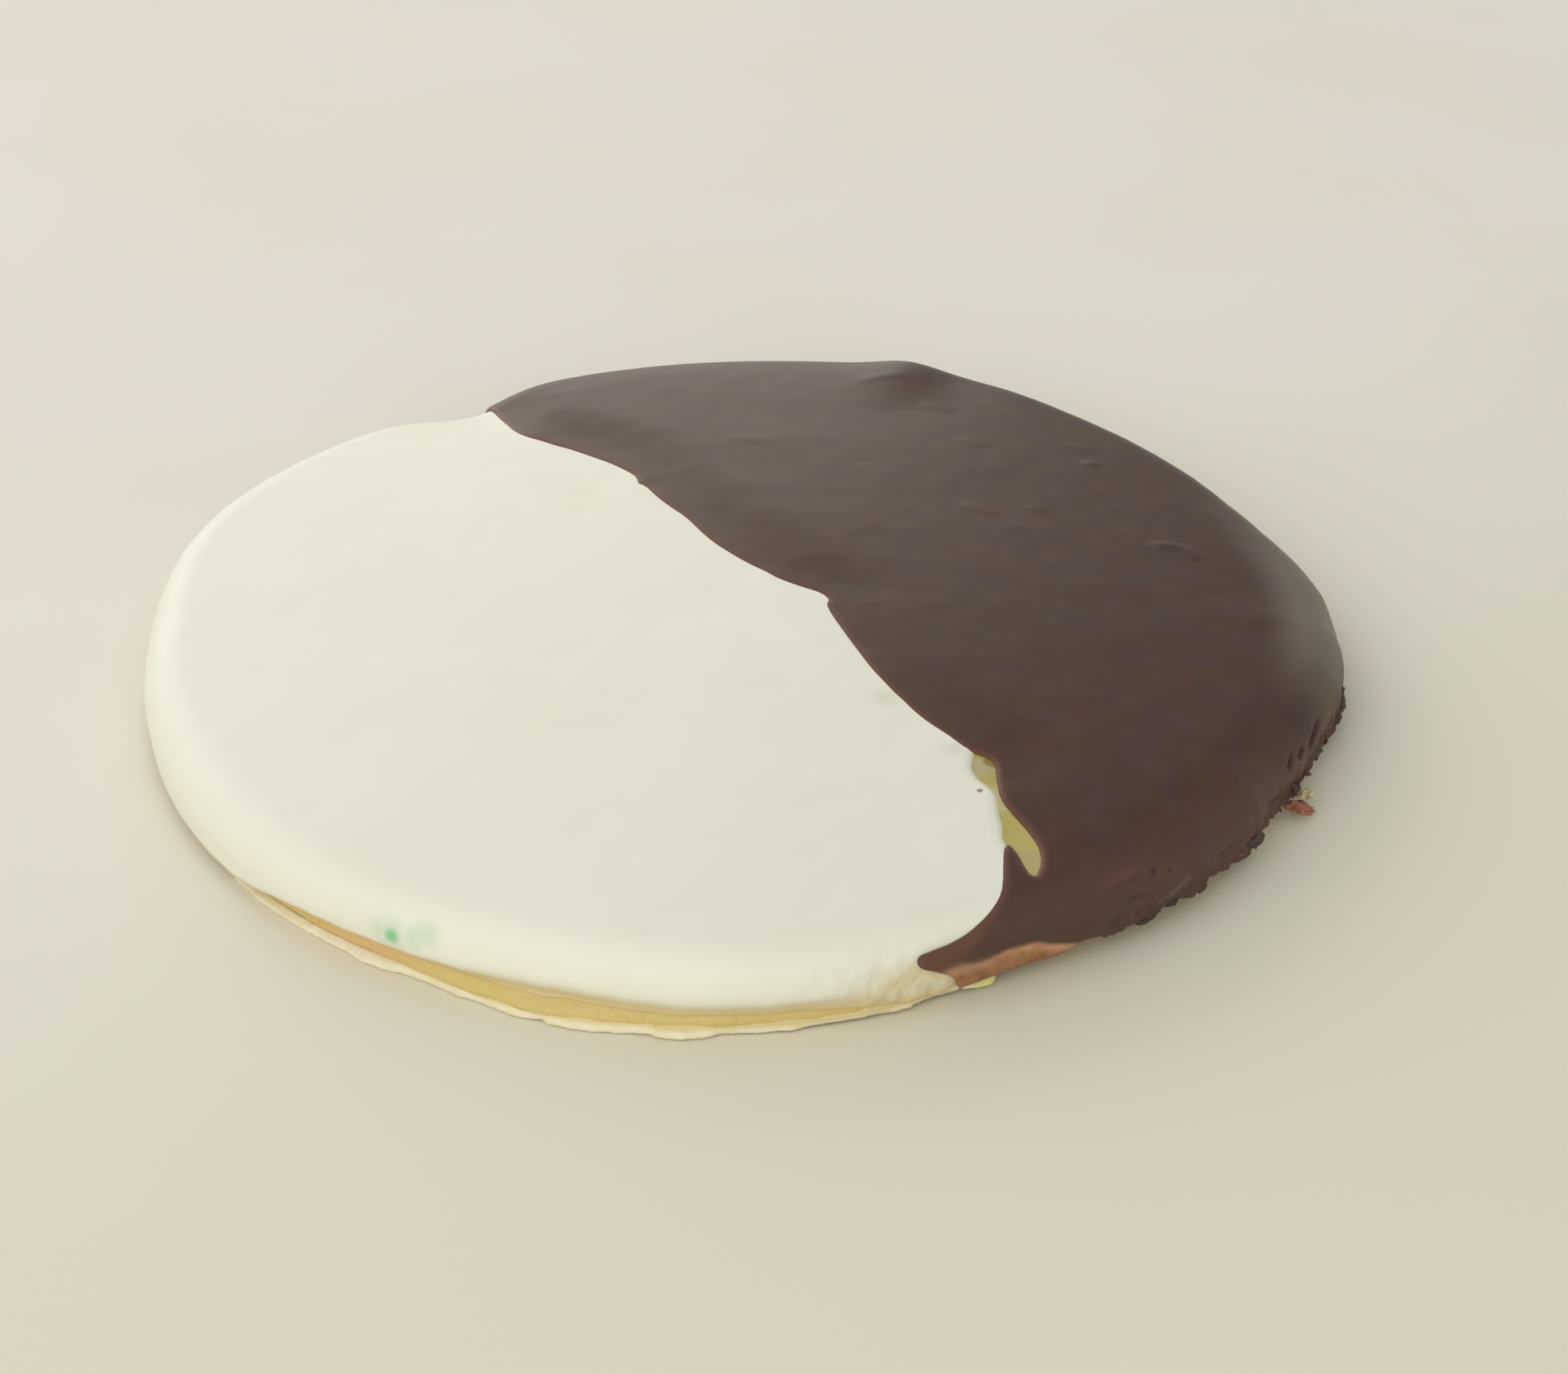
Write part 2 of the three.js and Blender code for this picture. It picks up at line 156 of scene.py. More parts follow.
def rim_offset(angle):
    """How far the rim stands out from a circle, on a smooth line through the offsets."""
    count = len(RIM_OFFSETS)
    place = (angle % 360) * count / 360
    first = np.floor(place).astype(int)
    four = (np.array(RIM_OFFSETS)[(first + i) % count] for i in (-1, 0, 1, 2))
    return curve(*four, place - first) - FLAT_SPOT["depth"] * hump(angle, FLAT_SPOT)


def section(angle, reach):
    """Distance from the middle, height and tilt of the cake's skin, each stretch adding its own step."""
    top = TOP_RADIUS + rim_offset(angle)
    drop = reach - TOP_RADIUS
    share = np.minimum(reach / TOP_RADIUS, 1)
    shoulder = CROWN_TILT + np.clip(drop, 0, SHOULDER_LENGTH) / SHOULDER_RADIUS
    down = np.clip(drop - SHOULDER_LENGTH, 0, SIDE_LENGTH)
    toe = SIDE_TILT + np.clip(drop - SHOULDER_LENGTH - SIDE_LENGTH, 0, TOE_LENGTH) / TOE_RADIUS
    radius = (share * top + SHOULDER_RADIUS * (np.sin(shoulder) - math.sin(CROWN_TILT))
              - down * math.sin(LEAN) + TOE_RADIUS * (np.sin(toe) - math.sin(SIDE_TILT)))
    height = (EDGE_HEIGHT + CROWN * (1 - share ** 2)
              + SHOULDER_RADIUS * (np.cos(shoulder) - math.cos(CROWN_TILT))
              - down * math.cos(LEAN) + TOE_RADIUS * (np.cos(toe) - math.cos(SIDE_TILT)))
    tilt = CROWN_TILT * (share - 1) + shoulder + toe - SIDE_TILT
    inward = 1 - np.maximum(drop - SKIRT, 0) / TOP_RADIUS
    radius = radius + np.interp(angle, *zip(*FLARE)) * smooth(height, *FLARE_HEIGHTS)
    height = height + UNDERSIDE_RISE * smooth(toe, SIDE_TILT, math.pi) * smooth(inward, REST_SHARE, 1)
    return radius * inward, height, tilt


def rim_radius(angle):
    """How far out the cake's side stands, without its flare."""
    return TOP_RADIUS + rim_offset(angle) + SHOULDER_RADIUS * (1 - math.sin(CROWN_TILT))


def rim_shift(angle, radius, height):
    """How far the rim is shifted up where it stands off the tray, and down at the flat spot."""
    rim = TOP_RADIUS + SHOULDER_RADIUS + rim_offset(angle)
    outward = smooth(radius, rim - CURL["width"], rim)
    upward = height / EDGE_HEIGHT
    rise = CURL["rise"] * hump(angle, CURL) * outward * np.maximum(0, 1 - upward)
    return rise - FLAT_SPOT["sag"] * hump(angle, FLAT_SPOT) * outward * np.minimum(1, upward)


def drop_at(height):
    """The drop at which the cake's side or toe is at a height."""
    side = SHOULDER_LENGTH + (SIDE_TOP - height) / math.cos(LEAN)
    turned = math.acos(min(1, height / TOE_RADIUS - 1)) - SIDE_TILT
    return side if height > SIDE_FOOT else SHOULDER_LENGTH + SIDE_LENGTH + TOE_RADIUS * turned


# ---------------------------------------------------------------- drawing on the flat sheet

def around(angle, radius):
    """The x and y of what lies at an angle and a distance from the middle."""
    return radius * np.cos(np.radians(angle)), radius * np.sin(np.radians(angle))


def on_sheet(angle, drop):
    return np.stack(around(angle, TOP_RADIUS + drop), -1)


def angle_and_drop(points):
    return np.degrees(np.arctan2(points[:, 1], points[:, 0])), np.hypot(*points.T) - TOP_RADIUS


def lay(points, lift):
    """Points of the flat sheet laid on the cake and lifted off its skin, as rows of x, y and z in metres."""
    x, y = points.T
    angle = np.degrees(np.arctan2(y, x))
    radius, height, tilt = section(angle, np.hypot(x, y))
    z = height + lift * np.cos(tilt) + rim_shift(angle, radius, height)
    return np.stack([*around(angle, radius + lift * np.sin(tilt)), z], 1) * MM


def lay_one(x, y, lift):
    return Vector(lay(np.array([(x, y)]), lift)[0])


def lay_at(angle, drop, lift):
    return lay_one(*on_sheet(angle, drop), lift)


def along(points, step):
    """Points at even steps on a smooth line through the given ones."""
    given = np.array(points, float)
    ends = np.vstack([given[:1] * 2 - given[1:2], given, given[-1:] * 2 - given[-2:-1]])
    t = np.linspace(0, 1, 12, endpoint=False)[:, None]
    fine = [curve(*four, t) for four in zip(ends, ends[1:], ends[2:], ends[3:])]
    fine = np.vstack([*fine, given[-1:]])
    length = np.concatenate([[0], np.cumsum(np.hypot(*np.diff(fine, axis=0).T))])
    places = np.linspace(0, length[-1], max(2, round(length[-1] / step) + 1))
    return np.stack([np.interp(places, length, fine[:, axis]) for axis in (0, 1)], 1)


def tree_of(points):
    """A search tree over points."""
    tree = kdtree.KDTree(len(points))
    for i, point in enumerate(points):
        tree.insert(point, i)
    tree.balance()
    return tree


class Outline:
    """A closed outline on the flat sheet, anticlockwise, with the distances of points from it."""

    def __init__(self, points):
        self.points = points
        self.tree = tree_of([(x, y, 0) for x, y in points])

    def nearest(self, places):
        """The index of the outline's nearest point to each place."""
        return np.array([self.tree.find((x, y, 0))[1] for x, y in places])

    def distance(self, places, index):
        """How far each place is from the outline's sides that meet at its nearest point."""
        best = np.full(len(places), np.inf)
        count = len(self.points)
        for step in (-1, 1):
            a, b = self.points[index], self.points[(index + step) % count]
            side = b - a
            t = np.clip(((places - a) * side).sum(1) / (side * side).sum(1), 0, 1)
            best = np.minimum(best, np.hypot(*(places - a - side * t[:, None]).T))
        return best

    def depth(self, places):
        return self.distance(places, self.nearest(places))

    def inside(self, places):
        """Whether each place lies inside."""
        crossings = np.zeros(len(places), int)
        x, y = places.T
        for (ax, ay), (bx, by) in zip(self.points, np.roll(self.points, -1, axis=0)):
            if ay != by:
                level = (ay > y) != (by > y)
                crossings += level & (x < ax + (y - ay) * (bx - ax) / (by - ay))
        return crossings % 2 == 1

    def keep(self, places, margin):
        """The places that lie inside and further than a margin from the edge."""
        places = places[self.inside(places)]
        return places[self.depth(places) > margin]

    def rings(self, depths):
        """Points at each depth inside the outline, next to its own points."""
        side = np.roll(self.points, -1, axis=0) - np.roll(self.points, 1, axis=0)
        inward = np.stack([-side[:, 1], side[:, 0]], 1) / np.hypot(*side.T)[:, None]
        return np.vstack([self.keep(self.points + inward * depth, 0.93 * depth) for depth in depths])


def hexagonal(box, step):
    """Points in rows that are shifted by half a step, over a box of the flat sheet."""
    x0, x1, y0, y1 = box
    row = np.arange(x0, x1, step)
    rows = enumerate(np.arange(y0, y1, step * math.sqrt(3) / 2))
    return np.vstack([np.stack([row + (i % 2) * step / 2, np.full(len(row), y)], 1) for i, y in rows])


def filled(outline, places):
    """The points and corners of triangles that fill an outline through places in it, its own points first."""
    points = np.vstack([outline.points, places])
    count = len(outline.points)
    found, _, faces, *_ = delaunay_2d_cdt([Vector(p) for p in points], [], [list(range(count))], 1, 1e-5)
    return np.array([tuple(p) for p in found]), [tuple(face) for face in faces]


def shell(name, sheets):
    """One closed mesh from sheets of (points, corners), joined where they meet."""
    made = bmesh.new()
    for points, corners in sheets:
        verts = [made.verts.new(p) for p in points]
        for face in corners:
            made.faces.new([verts[i] for i in face])
    bmesh.ops.remove_doubles(made, verts=made.verts, dist=2e-6)
    bmesh.ops.delete(made, geom=[v for v in made.verts if not v.link_faces], context="VERTS")
    bmesh.ops.recalc_face_normals(made, faces=made.faces)
    return to_object(name, made)


def to_object(name, made):
    mesh = bpy.data.meshes.new(name)
    made.to_mesh(mesh)
    made.free()
    mesh.shade_smooth()
    piece = bpy.data.objects.new(name, mesh)
    bpy.context.scene.collection.objects.link(piece)
    return piece


def rough(points, size, strength, seed=0, octaves=3):
    """Uneven relief over points of 1 to 3 coordinates in millimetres, with lumps of the given size."""
    shift = Vector((seed, seed, seed))
    places = np.pad(points, ((0, 0), (0, 3 - points.shape[1])))
    return strength * np.array([noise.fractal(Vector(p) / size + shift, 0.6, 2.1, octaves) for p in places])


def matched(piece, points):
    """The index of the nearest of the given points to each of a mesh's own."""
    tree = tree_of(points)
    return np.array([tree.find(v.co)[1] for v in piece.data.vertices])


def paint(piece, name, values):
    """Keeps a number for each of a mesh's points, for its material to read."""
    layer = piece.data.attributes.new(name, "FLOAT", "POINT")
    layer.data.foreach_set("value", np.asarray(values, np.float32))


def dress(piece, material, slot, *nodes):
    """Gives a piece its material and its body and hides the CAD nodes that it stands for; the slot is not
    used.
    """
    piece.data.materials.append(material)
    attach(piece, BODY)
    if nodes:
        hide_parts(*nodes)


# ---------------------------------------------------------------- materials and properties

class Link:
    """A socket of a material's nodes. Python's operators on it add Math nodes, and node() adds any other."""

    def __init__(self, tree, socket=None):
        self.tree = tree
        self.socket = socket

    def fill(self, socket, value):
        """Links a socket to another or sets its value, with an alpha of 1 for a colour that has none."""
        if isinstance(value, Link):
            self.tree.links.new(value.socket, socket)
        elif socket.type == "RGBA" and len(value) == 3:
            socket.default_value = (*value, 1)
        else:
            socket.default_value = value

    def node(self, kind, sockets=None, out=0, **settings):
        """Adds a node, makes its settings, fills its sockets with values or links and gives an output."""
        made = self.tree.nodes.new("ShaderNode" + kind)
        for name, value in settings.items():
            setattr(made, name, value)
        for key, value in (sockets or {}).items():
            self.fill(next(s for s in made.inputs if s.enabled and key in (s.name, s.identifier)), value)
        return Link(self.tree, [s for s in made.outputs if s.enabled][out])

    def math(self, operation, a, b):
        made = self.tree.nodes.new("ShaderNodeMath")
        made.operation = operation
        for socket, value in zip(made.inputs, (a, b)):
            self.fill(socket, value)
        return Link(self.tree, made.outputs[0])

    def __add__(self, other):
        return self.math("ADD", self, other)

    def __sub__(self, other):
        return self.math("SUBTRACT", self, other)

    def __rsub__(self, other):
        return self.math("SUBTRACT", other, self)

    def __mul__(self, other):
        return self.math("MULTIPLY", self, other)

    __radd__ = __add__
    __rmul__ = __mul__

    def larger(self, other):
        return self.math("MAXIMUM", self, other)

    def step(self, low, high):
        """0 at low and 1 at high, with a smooth step between."""
        sockets = {"Value": self, "From Min": low, "From Max": high}
        return self.node("MapRange", sockets, interpolation_type="SMOOTHSTEP")

    def mix(self, one, other):
        """A colour between two, with this value as the share of the second."""
        return self.node("Mix", {"Factor": self, "A": one, "B": other}, data_type="RGBA")


class Finish(Link):
    """A material in the making, with what its expressions start from."""

    def __init__(self, name):
        self.material = bpy.data.materials.new(name)
        self.material.use_nodes = True
        tree = self.material.node_tree
        super().__init__(tree)
        self.shader = next(n for n in tree.nodes if n.type == "BSDF_PRINCIPLED")
        self.place = self.node("TexCoord", out=3)

    def painted(self, name):
        """A number that a mesh holds for each point."""
        return self.node("Attribute", out=2, attribute_name=name, attribute_type="GEOMETRY")

    def along_axis(self, axis):
        """The place along x, y or z, in metres."""
        return self.node("SeparateXYZ", {"Vector": self.place}, out="xyz".index(axis))

    def grain(self, size, detail=2, squeezed=1):
        """Noise with grains of a size in metres, from 0 to 1, which may be squeezed along z."""
        place = self.place
        if squeezed != 1:
            sockets = {"Vector": place, "Vector_001": (1, 1, squeezed)}
            place = self.node("VectorMath", sockets, operation="MULTIPLY")
        return self.node("TexNoise", {"Vector": place, "Scale": 1 / size, "Detail": detail})

    def cells(self, size):
        """Distance to the nearest of scattered cells of a size in metres."""
        return self.node("TexVoronoi", {"Vector": self.place, "Scale": 1 / size})

    def spot(self, point, radius):
        """1 at a point in metres, fading to 0 at a radius in millimetres."""
        sockets = {"Vector": self.place, "Vector_001": tuple(point)}
        return self.node("VectorMath", sockets, operation="DISTANCE").step(radius * MM, 0)

    def bumpy(self, height, strength, distance):
        return self.node("Bump", {"Height": height, "Strength": strength, "Distance": distance})

    def set(self, **values):
        """Fills sockets of the shader, named with _ for a space."""
        for key, value in values.items():
            self.fill(self.shader.inputs[key.replace("_", " ")], value)
        return self.material


def seen(*channels):
    """A colour given as it looks on a screen, from 0 to 255, as Blender's linear one."""
    shares = [channel / 255 for channel in channels]
    return tuple(c / 12.92 if c <= 0.04045 else ((c + 0.055) / 1.055) ** 2.4 for c in shares)


def layered(colour, *layers):
    """A colour with others laid over it, each given as its share and its three channels on a screen."""
    for share, *channels in layers:
        colour = share.mix(colour, seen(*channels))
    return colour


def length(name, description, default, **limits):
    """A property that holds a length, given here in millimetres."""
    return FloatProperty(name=name, description=description, default=default * MM, unit="LENGTH",
                         precision=5, **limits)


def tint(name, description, *channels):
    """A property that holds a colour, given here as it looks on a screen."""
    return FloatVectorProperty(name=name, description=description, subtype="COLOR", default=seen(*channels))


def power(name, description, default):
    """A property that holds a light's power in watts."""
    return FloatProperty(name=name, description=description, default=default, min=0, unit="POWER")


# ---------------------------------------------------------------- the icings' thickness

CLEARANCE = 0.3  # how far over the cake's skin an icing's own thickness starts
SIDE_THINNING = 0.35
WHITE_FILM = {"at": -72, "spread": 7, "thickness": 0.5}
UNDER_FILM = {"stretch": (-71.5, -68.5, -50, -40), "drop": (4, 5.5), "thinning": 0.75}  # under the other film
CHOCOLATE_FILM = {"at": -65, "spread": 7, "thickness": 0.4, "drop": 5}
SWELLINGS = ({"at": 118, "spread": 4.5, "height": 0.3}, {"at": 72.5, "spread": 4.5, "height": 0.9},
             {"at": -2, "spread": 3, "height": 0.25})
SWELLING_WIDTH = 14
# How far the chocolate stands off the cake's side, as (angle, lift).
SIDE_LIFT = [(-72, 1.8), (-60, 1.7), (-57, 1.5), (-52, 1.55), (-50, 1.8), (-46, 1.7), (-43, 1.65),
             (-41, 1.4), (-36, 1.4), (-33, 1.3), (-31, 0.9), (-28, 0.6), (-25, 0.6), (-20, 0.65),
             (-16, 0.85), (-12, 1.2), (-9, 1.65), (-4, 1.65), (0, 1.5), (4, 1.75), (8, 2.1), (14, 1.85),
             (20, 1.35), (27, 1.25), (33, 1.7), (44, 2.1), (66, 2.05), (90, 2.05), (112, 2.05), (118, 2)]
GLAZE_LIFT = 1.55


def side_share(drop):
    """How much of its thickness an icing keeps down the side."""
    return 1 - SIDE_THINNING * smooth(drop, 0, SHOULDER_LENGTH)


def lip(depth, width, roundness):
    """The share of its thickness that an icing has at a depth inside its edge."""
    share = np.clip(depth / width, 0, 1)
    return (1 - (1 - share) ** roundness) ** (1 / roundness)


def white_lift(points, outline, widths, roundness, thickness):
    """The height of the white icing over the cake, 0 outside its outline."""
    angle, drop = angle_and_drop(points)
    full = CLEARANCE + thickness * side_share(drop)
    film = hump(angle, WHITE_FILM) * smooth(drop, 1, SHOULDER_LENGTH)
    full += (CLEARANCE + WHITE_FILM["thickness"] - full) * film
    thin = stretch(angle, *UNDER_FILM["stretch"]) * smooth(drop, *UNDER_FILM["drop"])
    full *= 1 - UNDER_FILM["thinning"] * thin
    index = outline.nearest(points)
    lift = full * lip(outline.distance(points, index), widths[index], roundness[index])
    return np.where(outline.inside(points), lift, 0)


def round_average(values, reach):
    """A closed line of values, each averaged with its neighbours."""
    kernel = np.ones(2 * reach + 1) / (2 * reach + 1)
    return np.convolve(np.concatenate([values[-reach:], values, values[:reach]]), kernel, "valid")


def white_outline(step=0.4):
    """The white icing's outline, with how far in its lip is rounded off and how round it is there."""
    start = WHITE_HEM[0][0] - 29.5  # where it meets the icing's own edge at the far rim
    angles = np.arange(start, WHITE_HEM[-1][0], math.degrees(step / (TOP_RADIUS + 8)))
    drops = np.interp(angles, *zip(*WHITE_HEM))
    drops += 0.05 * ripple(angles, [29, 53, 91])
    hem = on_sheet(angles, drops)
    inner = along(WHITE_EDGE, step)[1:-1]
    x0, x1, y0, y1 = LEAF_STRETCH
    at_leaf = (inner[:, 0] > x0) & (inner[:, 0] < x1) & (inner[:, 1] > y0) & (inner[:, 1] < y1)
    at_band = stretch(angles, -142, -132, -80, -74)
    band_widths = 0.7 + at_band * (0.9 + 0.8 * smooth(angles, -118, -104))
    widths = np.concatenate([band_widths, np.where(at_leaf, 2.1, 0.8)])
    roundness = np.concatenate([2 - 0.5 * at_band, np.where(at_leaf, 1.3, 2)])
    return Outline(np.vstack([hem, inner])), round_average(widths, 6), round_average(roundness, 6)


RIDGES = (  # on the chocolate, as (points along the crest, width, height)
    ([(45.5, 13), (47.4, 13.2), (48.8, 12.6), (49.8, 11.4), (50.2, 9.9)], 0.8, 0.22),
    ([(39.4, 34.3), (40.2, 33.9), (41.3, 33.1)], 0.6, 0.16),
    ([(36.6, 38.6), (39.2, 38.3), (41.4, 37.2)], 0.9, 0.07),
    ([(12.4, 53.2), (15.4, 53.8), (18.2, 54.3)], 0.9, 0.1),
    ([(19.6, 46.9), (21.5, 46.4), (23.4, 45.2)], 0.9, 0.08),
    ([(24, 37.8), (25.8, 37.4), (27.8, 36.4)], 0.9, 0.06),
    ([(24.4, 21), (26.6, 20), (28.4, 18.6)], 0.8, 0.06),
    ([(31.4, 20.4), (32.9, 20.8), (34.6, 20.6)], 0.8, 0.05),
    ([(-3, 37), (0, 36.6), (3, 35.6)], 1, 0.05),
)
CRACKS = (  # in the chocolate's side, as (points of angle and drop along it, width, depth)
    ([(-15.6, 3.4), (-17.3, 3.8), (-19.6, 4.3)], 0.24, 0.8),
    ([(-21, 3.6), (-22.7, 3.9)], 0.22, 0.7),
    ([(-23.5, 2.9), (-24.2, 3.3), (-25.3, 3.7)], 0.2, 0.65),
    ([(-54.2, 3.7), (-53, 3.2), (-51.1, 3.2), (-50.2, 3.1)], 0.26, 0.32),
    ([(-49.6, 3.3), (-48.6, 3.2)], 0.24, 0.4),
    ([(-47.6, 3.7), (-46.8, 3.9)], 0.26, 0.4),
    ([(-53.6, 5), (-51.6, 4.7), (-49.4, 5.1)], 0.26, 0.3),
    ([(-27, 4.8), (-29.4, 5), (-31.4, 4.7)], 0.24, 0.35),
    ([(-36.4, 5), (-38.6, 5.3), (-41, 5.1)], 0.26, 0.35),
    ([(-12, 5.2), (-14, 5.6), (-16.6, 5.5)], 0.24, 0.45),
)
# Where the chocolate's side is reddish, as (angle, drop, half its width in degrees, half its height).
RED_PATCHES = ((-13.5, 5.6, 3.4, 1.6), (-22, 5, 2.4, 1.2), (-36, 6.8, 3, 1.2), (-52.6, 2.7, 2.2, 0.5),
               (-47.3, 3.9, 1, 0.5))
# Where the film below the tongue starts, as (angle, drop).
PINK_TOP = [(-74, 5.3), (-70.6, 5.3), (-69.2, 5.6), (-67.8, 5.95), (-66.8, 5.85), (-65.2, 5.55),
            (-62.2, 5.7), (-60.8, 6.5), (-59.5, 7), (-58.2, 7.6)]
PALE_SMEAR = ((-44.9, 5.4), (-49, 6))  # a greyish streak of white icing on the chocolate's side
CRUMBLY = {"stretch": (-57, -53, -5, -1), "drop": (4.2, 6.2)}  # where the chocolate's side is rough


def in_crumbly(angle, drop):
    return stretch(angle, *CRUMBLY["stretch"]) * smooth(drop, *CRUMBLY["drop"])


def strokes(places, lines):
    """The height of narrow ridges at places on the flat sheet: each has its points, width and height."""
    total = np.zeros(len(places))
    step = 0.2
    for points, width, height in lines:
        line = along(points, step)
        share = np.linspace(0, 1, len(line))
        tapered = height * (4 * share * (1 - share)) ** 0.5
        close = np.flatnonzero(np.hypot(*(places - line.mean(0)).T) < len(line) * step + 3 * width)
        away = np.hypot(places[close, None, 0] - line[:, 0], places[close, None, 1] - line[:, 1])
        total[close] += tapered[away.argmin(1)] * np.exp(-(away.min(1) / width) ** 2)
    return total


def cracks(places):
    return strokes(places, [(on_sheet(*np.array(points).T), width, depth) for points, width, depth in CRACKS])


def chocolate_full(points, from_divide, thickness, white_thickness):
    """The height of the chocolate's top over the cake, away from its own edges."""
    angle, drop = angle_and_drop(points)
    full = CLEARANCE + white_thickness + (thickness - white_thickness) * smooth(from_divide, 0, 10)
    full += (np.interp(angle, *zip(*SIDE_LIFT)) - full) * smooth(drop, -4, SHOULDER_LENGTH)
    swelling = sum(bulge["height"] * hump(angle, bulge) for bulge in SWELLINGS)
    swelling = swelling * smooth(drop, -SWELLING_WIDTH, 0)
    full += swelling * (1 - smooth(drop, SHOULDER_RADIUS, CHOCOLATE_HEM[-1][1]))
    film = hump(angle, CHOCOLATE_FILM) * smooth(drop, CHOCOLATE_FILM["drop"] - 1, CHOCOLATE_FILM["drop"])
    return full + (CLEARANCE + CHOCOLATE_FILM["thickness"] - full) * film


def chocolate_outline(step=0.3):
    """The chocolate's outline, with how many of its points border the white icing or the leaf."""
    border = along(FAR_DIVIDE + LEAF_EDGE[:-1], step)[:-1]
    border = np.vstack([border, along(LEAF_EDGE[-1:] + NEAR_DIVIDE, step)])
    ends, _ = angle_and_drop(border[[-1, 0]])
    angles = np.arange(ends[0], ends[1], math.degrees(0.6 * step / (TOP_RADIUS + 8)))[1:-1]
    torn = rough(angles[:, None], 2.4, 0.5, 3) * in_crumbly(angles, angles * 0 + 9)
    jag = (HEM_JAG * ripple(angles, [17, 41, 67]) + torn) * smooth(angles, -64, -57)
    blend = np.minimum(1, np.minimum(angles - ends[0], ends[1] - angles) / 3)
    start, end = (np.hypot(*border[i]) - TOP_RADIUS for i in (-1, 0))
    base = np.where(angles < (ends[0] + ends[1]) / 2, start, end)
    drops = base + (np.interp(angles, *zip(*CHOCOLATE_HEM)) + jag - base) * blend
    hem = on_sheet(angles, np.minimum(drops, LOWEST_HEM))
    return Outline(np.vstack([border, hem])), len(border)


# ---------------------------------------------------------------- the cake

CROWN_RINGS = (0, 12, 24, 34, 42, 49, 54, 58, TOP_RADIUS)  # the reach of each ring of the mesh on top
SIDE_RINGS = np.arange(0.8, SKIRT, 0.3)  # the drop of each ring down the side
BASE_RINGS = 24
RING_POINTS = 300
TAN_STRETCH = (-180, -150, -122, -112)


class CrustLook(bpy.types.PropertyGroup):
    """The baked cake under the icings."""

    grain: length("Grain", "Depth of the crust's unevenness", 0.1, min=0)
    tan: tint("Tan", "Colour of the band's left end", 220, 187, 129)
    golden: tint("Golden", "Colour of the band's middle", 216, 196, 150)
    mustard: tint("Mustard", "Colour of the spots in the band and of its lower part", 212, 190, 106)
    baked: tint("Baked", "Colour of the browned underside", 176, 132, 78)


def crust_material(look):
    finish = Finish("golden_crust")
    blotch = finish.grain(7 * MM, 3).step(0.42, 0.6)
    pores = finish.cells(1.1 * MM).step(0.12, 0.3)
    fine = finish.grain(0.7 * MM, 4)
    band = finish.painted("warmth").mix(look.golden, look.tan)
    band = (blotch * 0.5).mix(band, look.mustard)
    band = (finish.painted("lower") * 0.7).mix(band, look.mustard)
    band = (fine.step(0.5, 0.75) * 0.16).mix(band, look.baked)
    dark = finish.grain(9 * MM, 4).step(0.3, 0.7)
    under = layered(look.baked, (dark, 128, 84, 44), ((1 - pores) * 0.5, 92, 58, 30))
    colour = finish.painted("underside").mix(band, under)
    relief = finish.bumpy(fine * 0.6 + pores * 0.4, 0.35, 0.2 * MM)
    return finish.set(Base_Color=colour, Roughness=0.5 + fine * 0.3, Normal=relief)


class MakeCrust(bpy.types.Operator):
    """Makes the cake with its golden side and browned underside"""

    bl_idname = "cookie.make_crust"
    bl_label = "Crust"

    def execute(self, context):
        look = context.scene.cookie_crust
        base = TOP_RADIUS + SKIRT + TOP_RADIUS * np.linspace(0, 1, BASE_RINGS)
        reach = np.concatenate([CROWN_RINGS, TOP_RADIUS + SIDE_RINGS, base])
        count = RING_POINTS
        angle = np.arange(count) * 360 / count
        places = np.stack([axis.ravel() for axis in around(angle, reach[:, None])], 1)
        points = lay(places, 0)
        outward = lay(places, 1) - points
        depth = look.grain / MM
        relief = rough(points / MM, 2.2, depth) + rough(points / MM, 0.7, 0.4 * depth, 5)
        points += outward * relief[:, None]
        points[:, 2] = np.maximum(points[:, 2], 0)
        faces = [(a * count + i, (a + 1) * count + i, (a + 1) * count + j, a * count + j)
                 for a in range(len(reach) - 1) for i, j in zip(range(count), [*range(1, count), 0])]
        piece = shell("cake_crust", [(points, faces)])
        x, y, height = np.array([v.co for v in piece.data.vertices]).T / MM
        angle = np.degrees(np.arctan2(y, x))
        warmth = stretch(angle, *TAN_STRETCH)
        paint(piece, "warmth", warmth)
        paint(piece, "lower", smooth(height, 3.6, 2.2) * (1 - warmth))
        paint(piece, "underside", smooth(height, 1.2, 0.5))
        dress(piece, crust_material(look), "cake", "cake")
        return {"FINISHED"}


# ---------------------------------------------------------------- the white icing

STAIN = (-121.9, 4.68)  # where the white icing is stained green, as (angle, drop)
STAIN_SPOTS = ((-123.1, 4.5), (-119.7, 4.4), (-118.4, 3.7))  # where the stain has spread
SHADES = ((15.3, -22.2, 2.6), (22.2, -31.7, 1.8))  # faint grey marks, as (x, y, radius)
FLECK = (24.7, -39)
DIMPLE = (([(-12.3, -61.6), (-9.9, -61.4)], 0.6, -0.14),)
YELLOW_SPECKS = ((-78.4, 8.6), (-76.9, 7.9), (-75.2, 8.8))  # in the film by the band, as (angle, drop)
THIN_STRETCH = (-122, -108, -60, -40)  # the angles between which its edge down the side is thin furthest in
FILM_STRETCH = (-85, -78, -66, -60)
WRINKLES = (((-85, -79, -72, -69), (3, 5), 0.3), ((-88, -80, -72, -69), (1, 3), 0.1))  # angles, drops, height
LIP_RINGS = (0.04, 0.14, 0.32, 0.6, 1, 1.5, 2.1)  # how far inside the edge the mesh follows it
WHITE_SIDE_STEP = 0.45
UNDER_STEP = 3


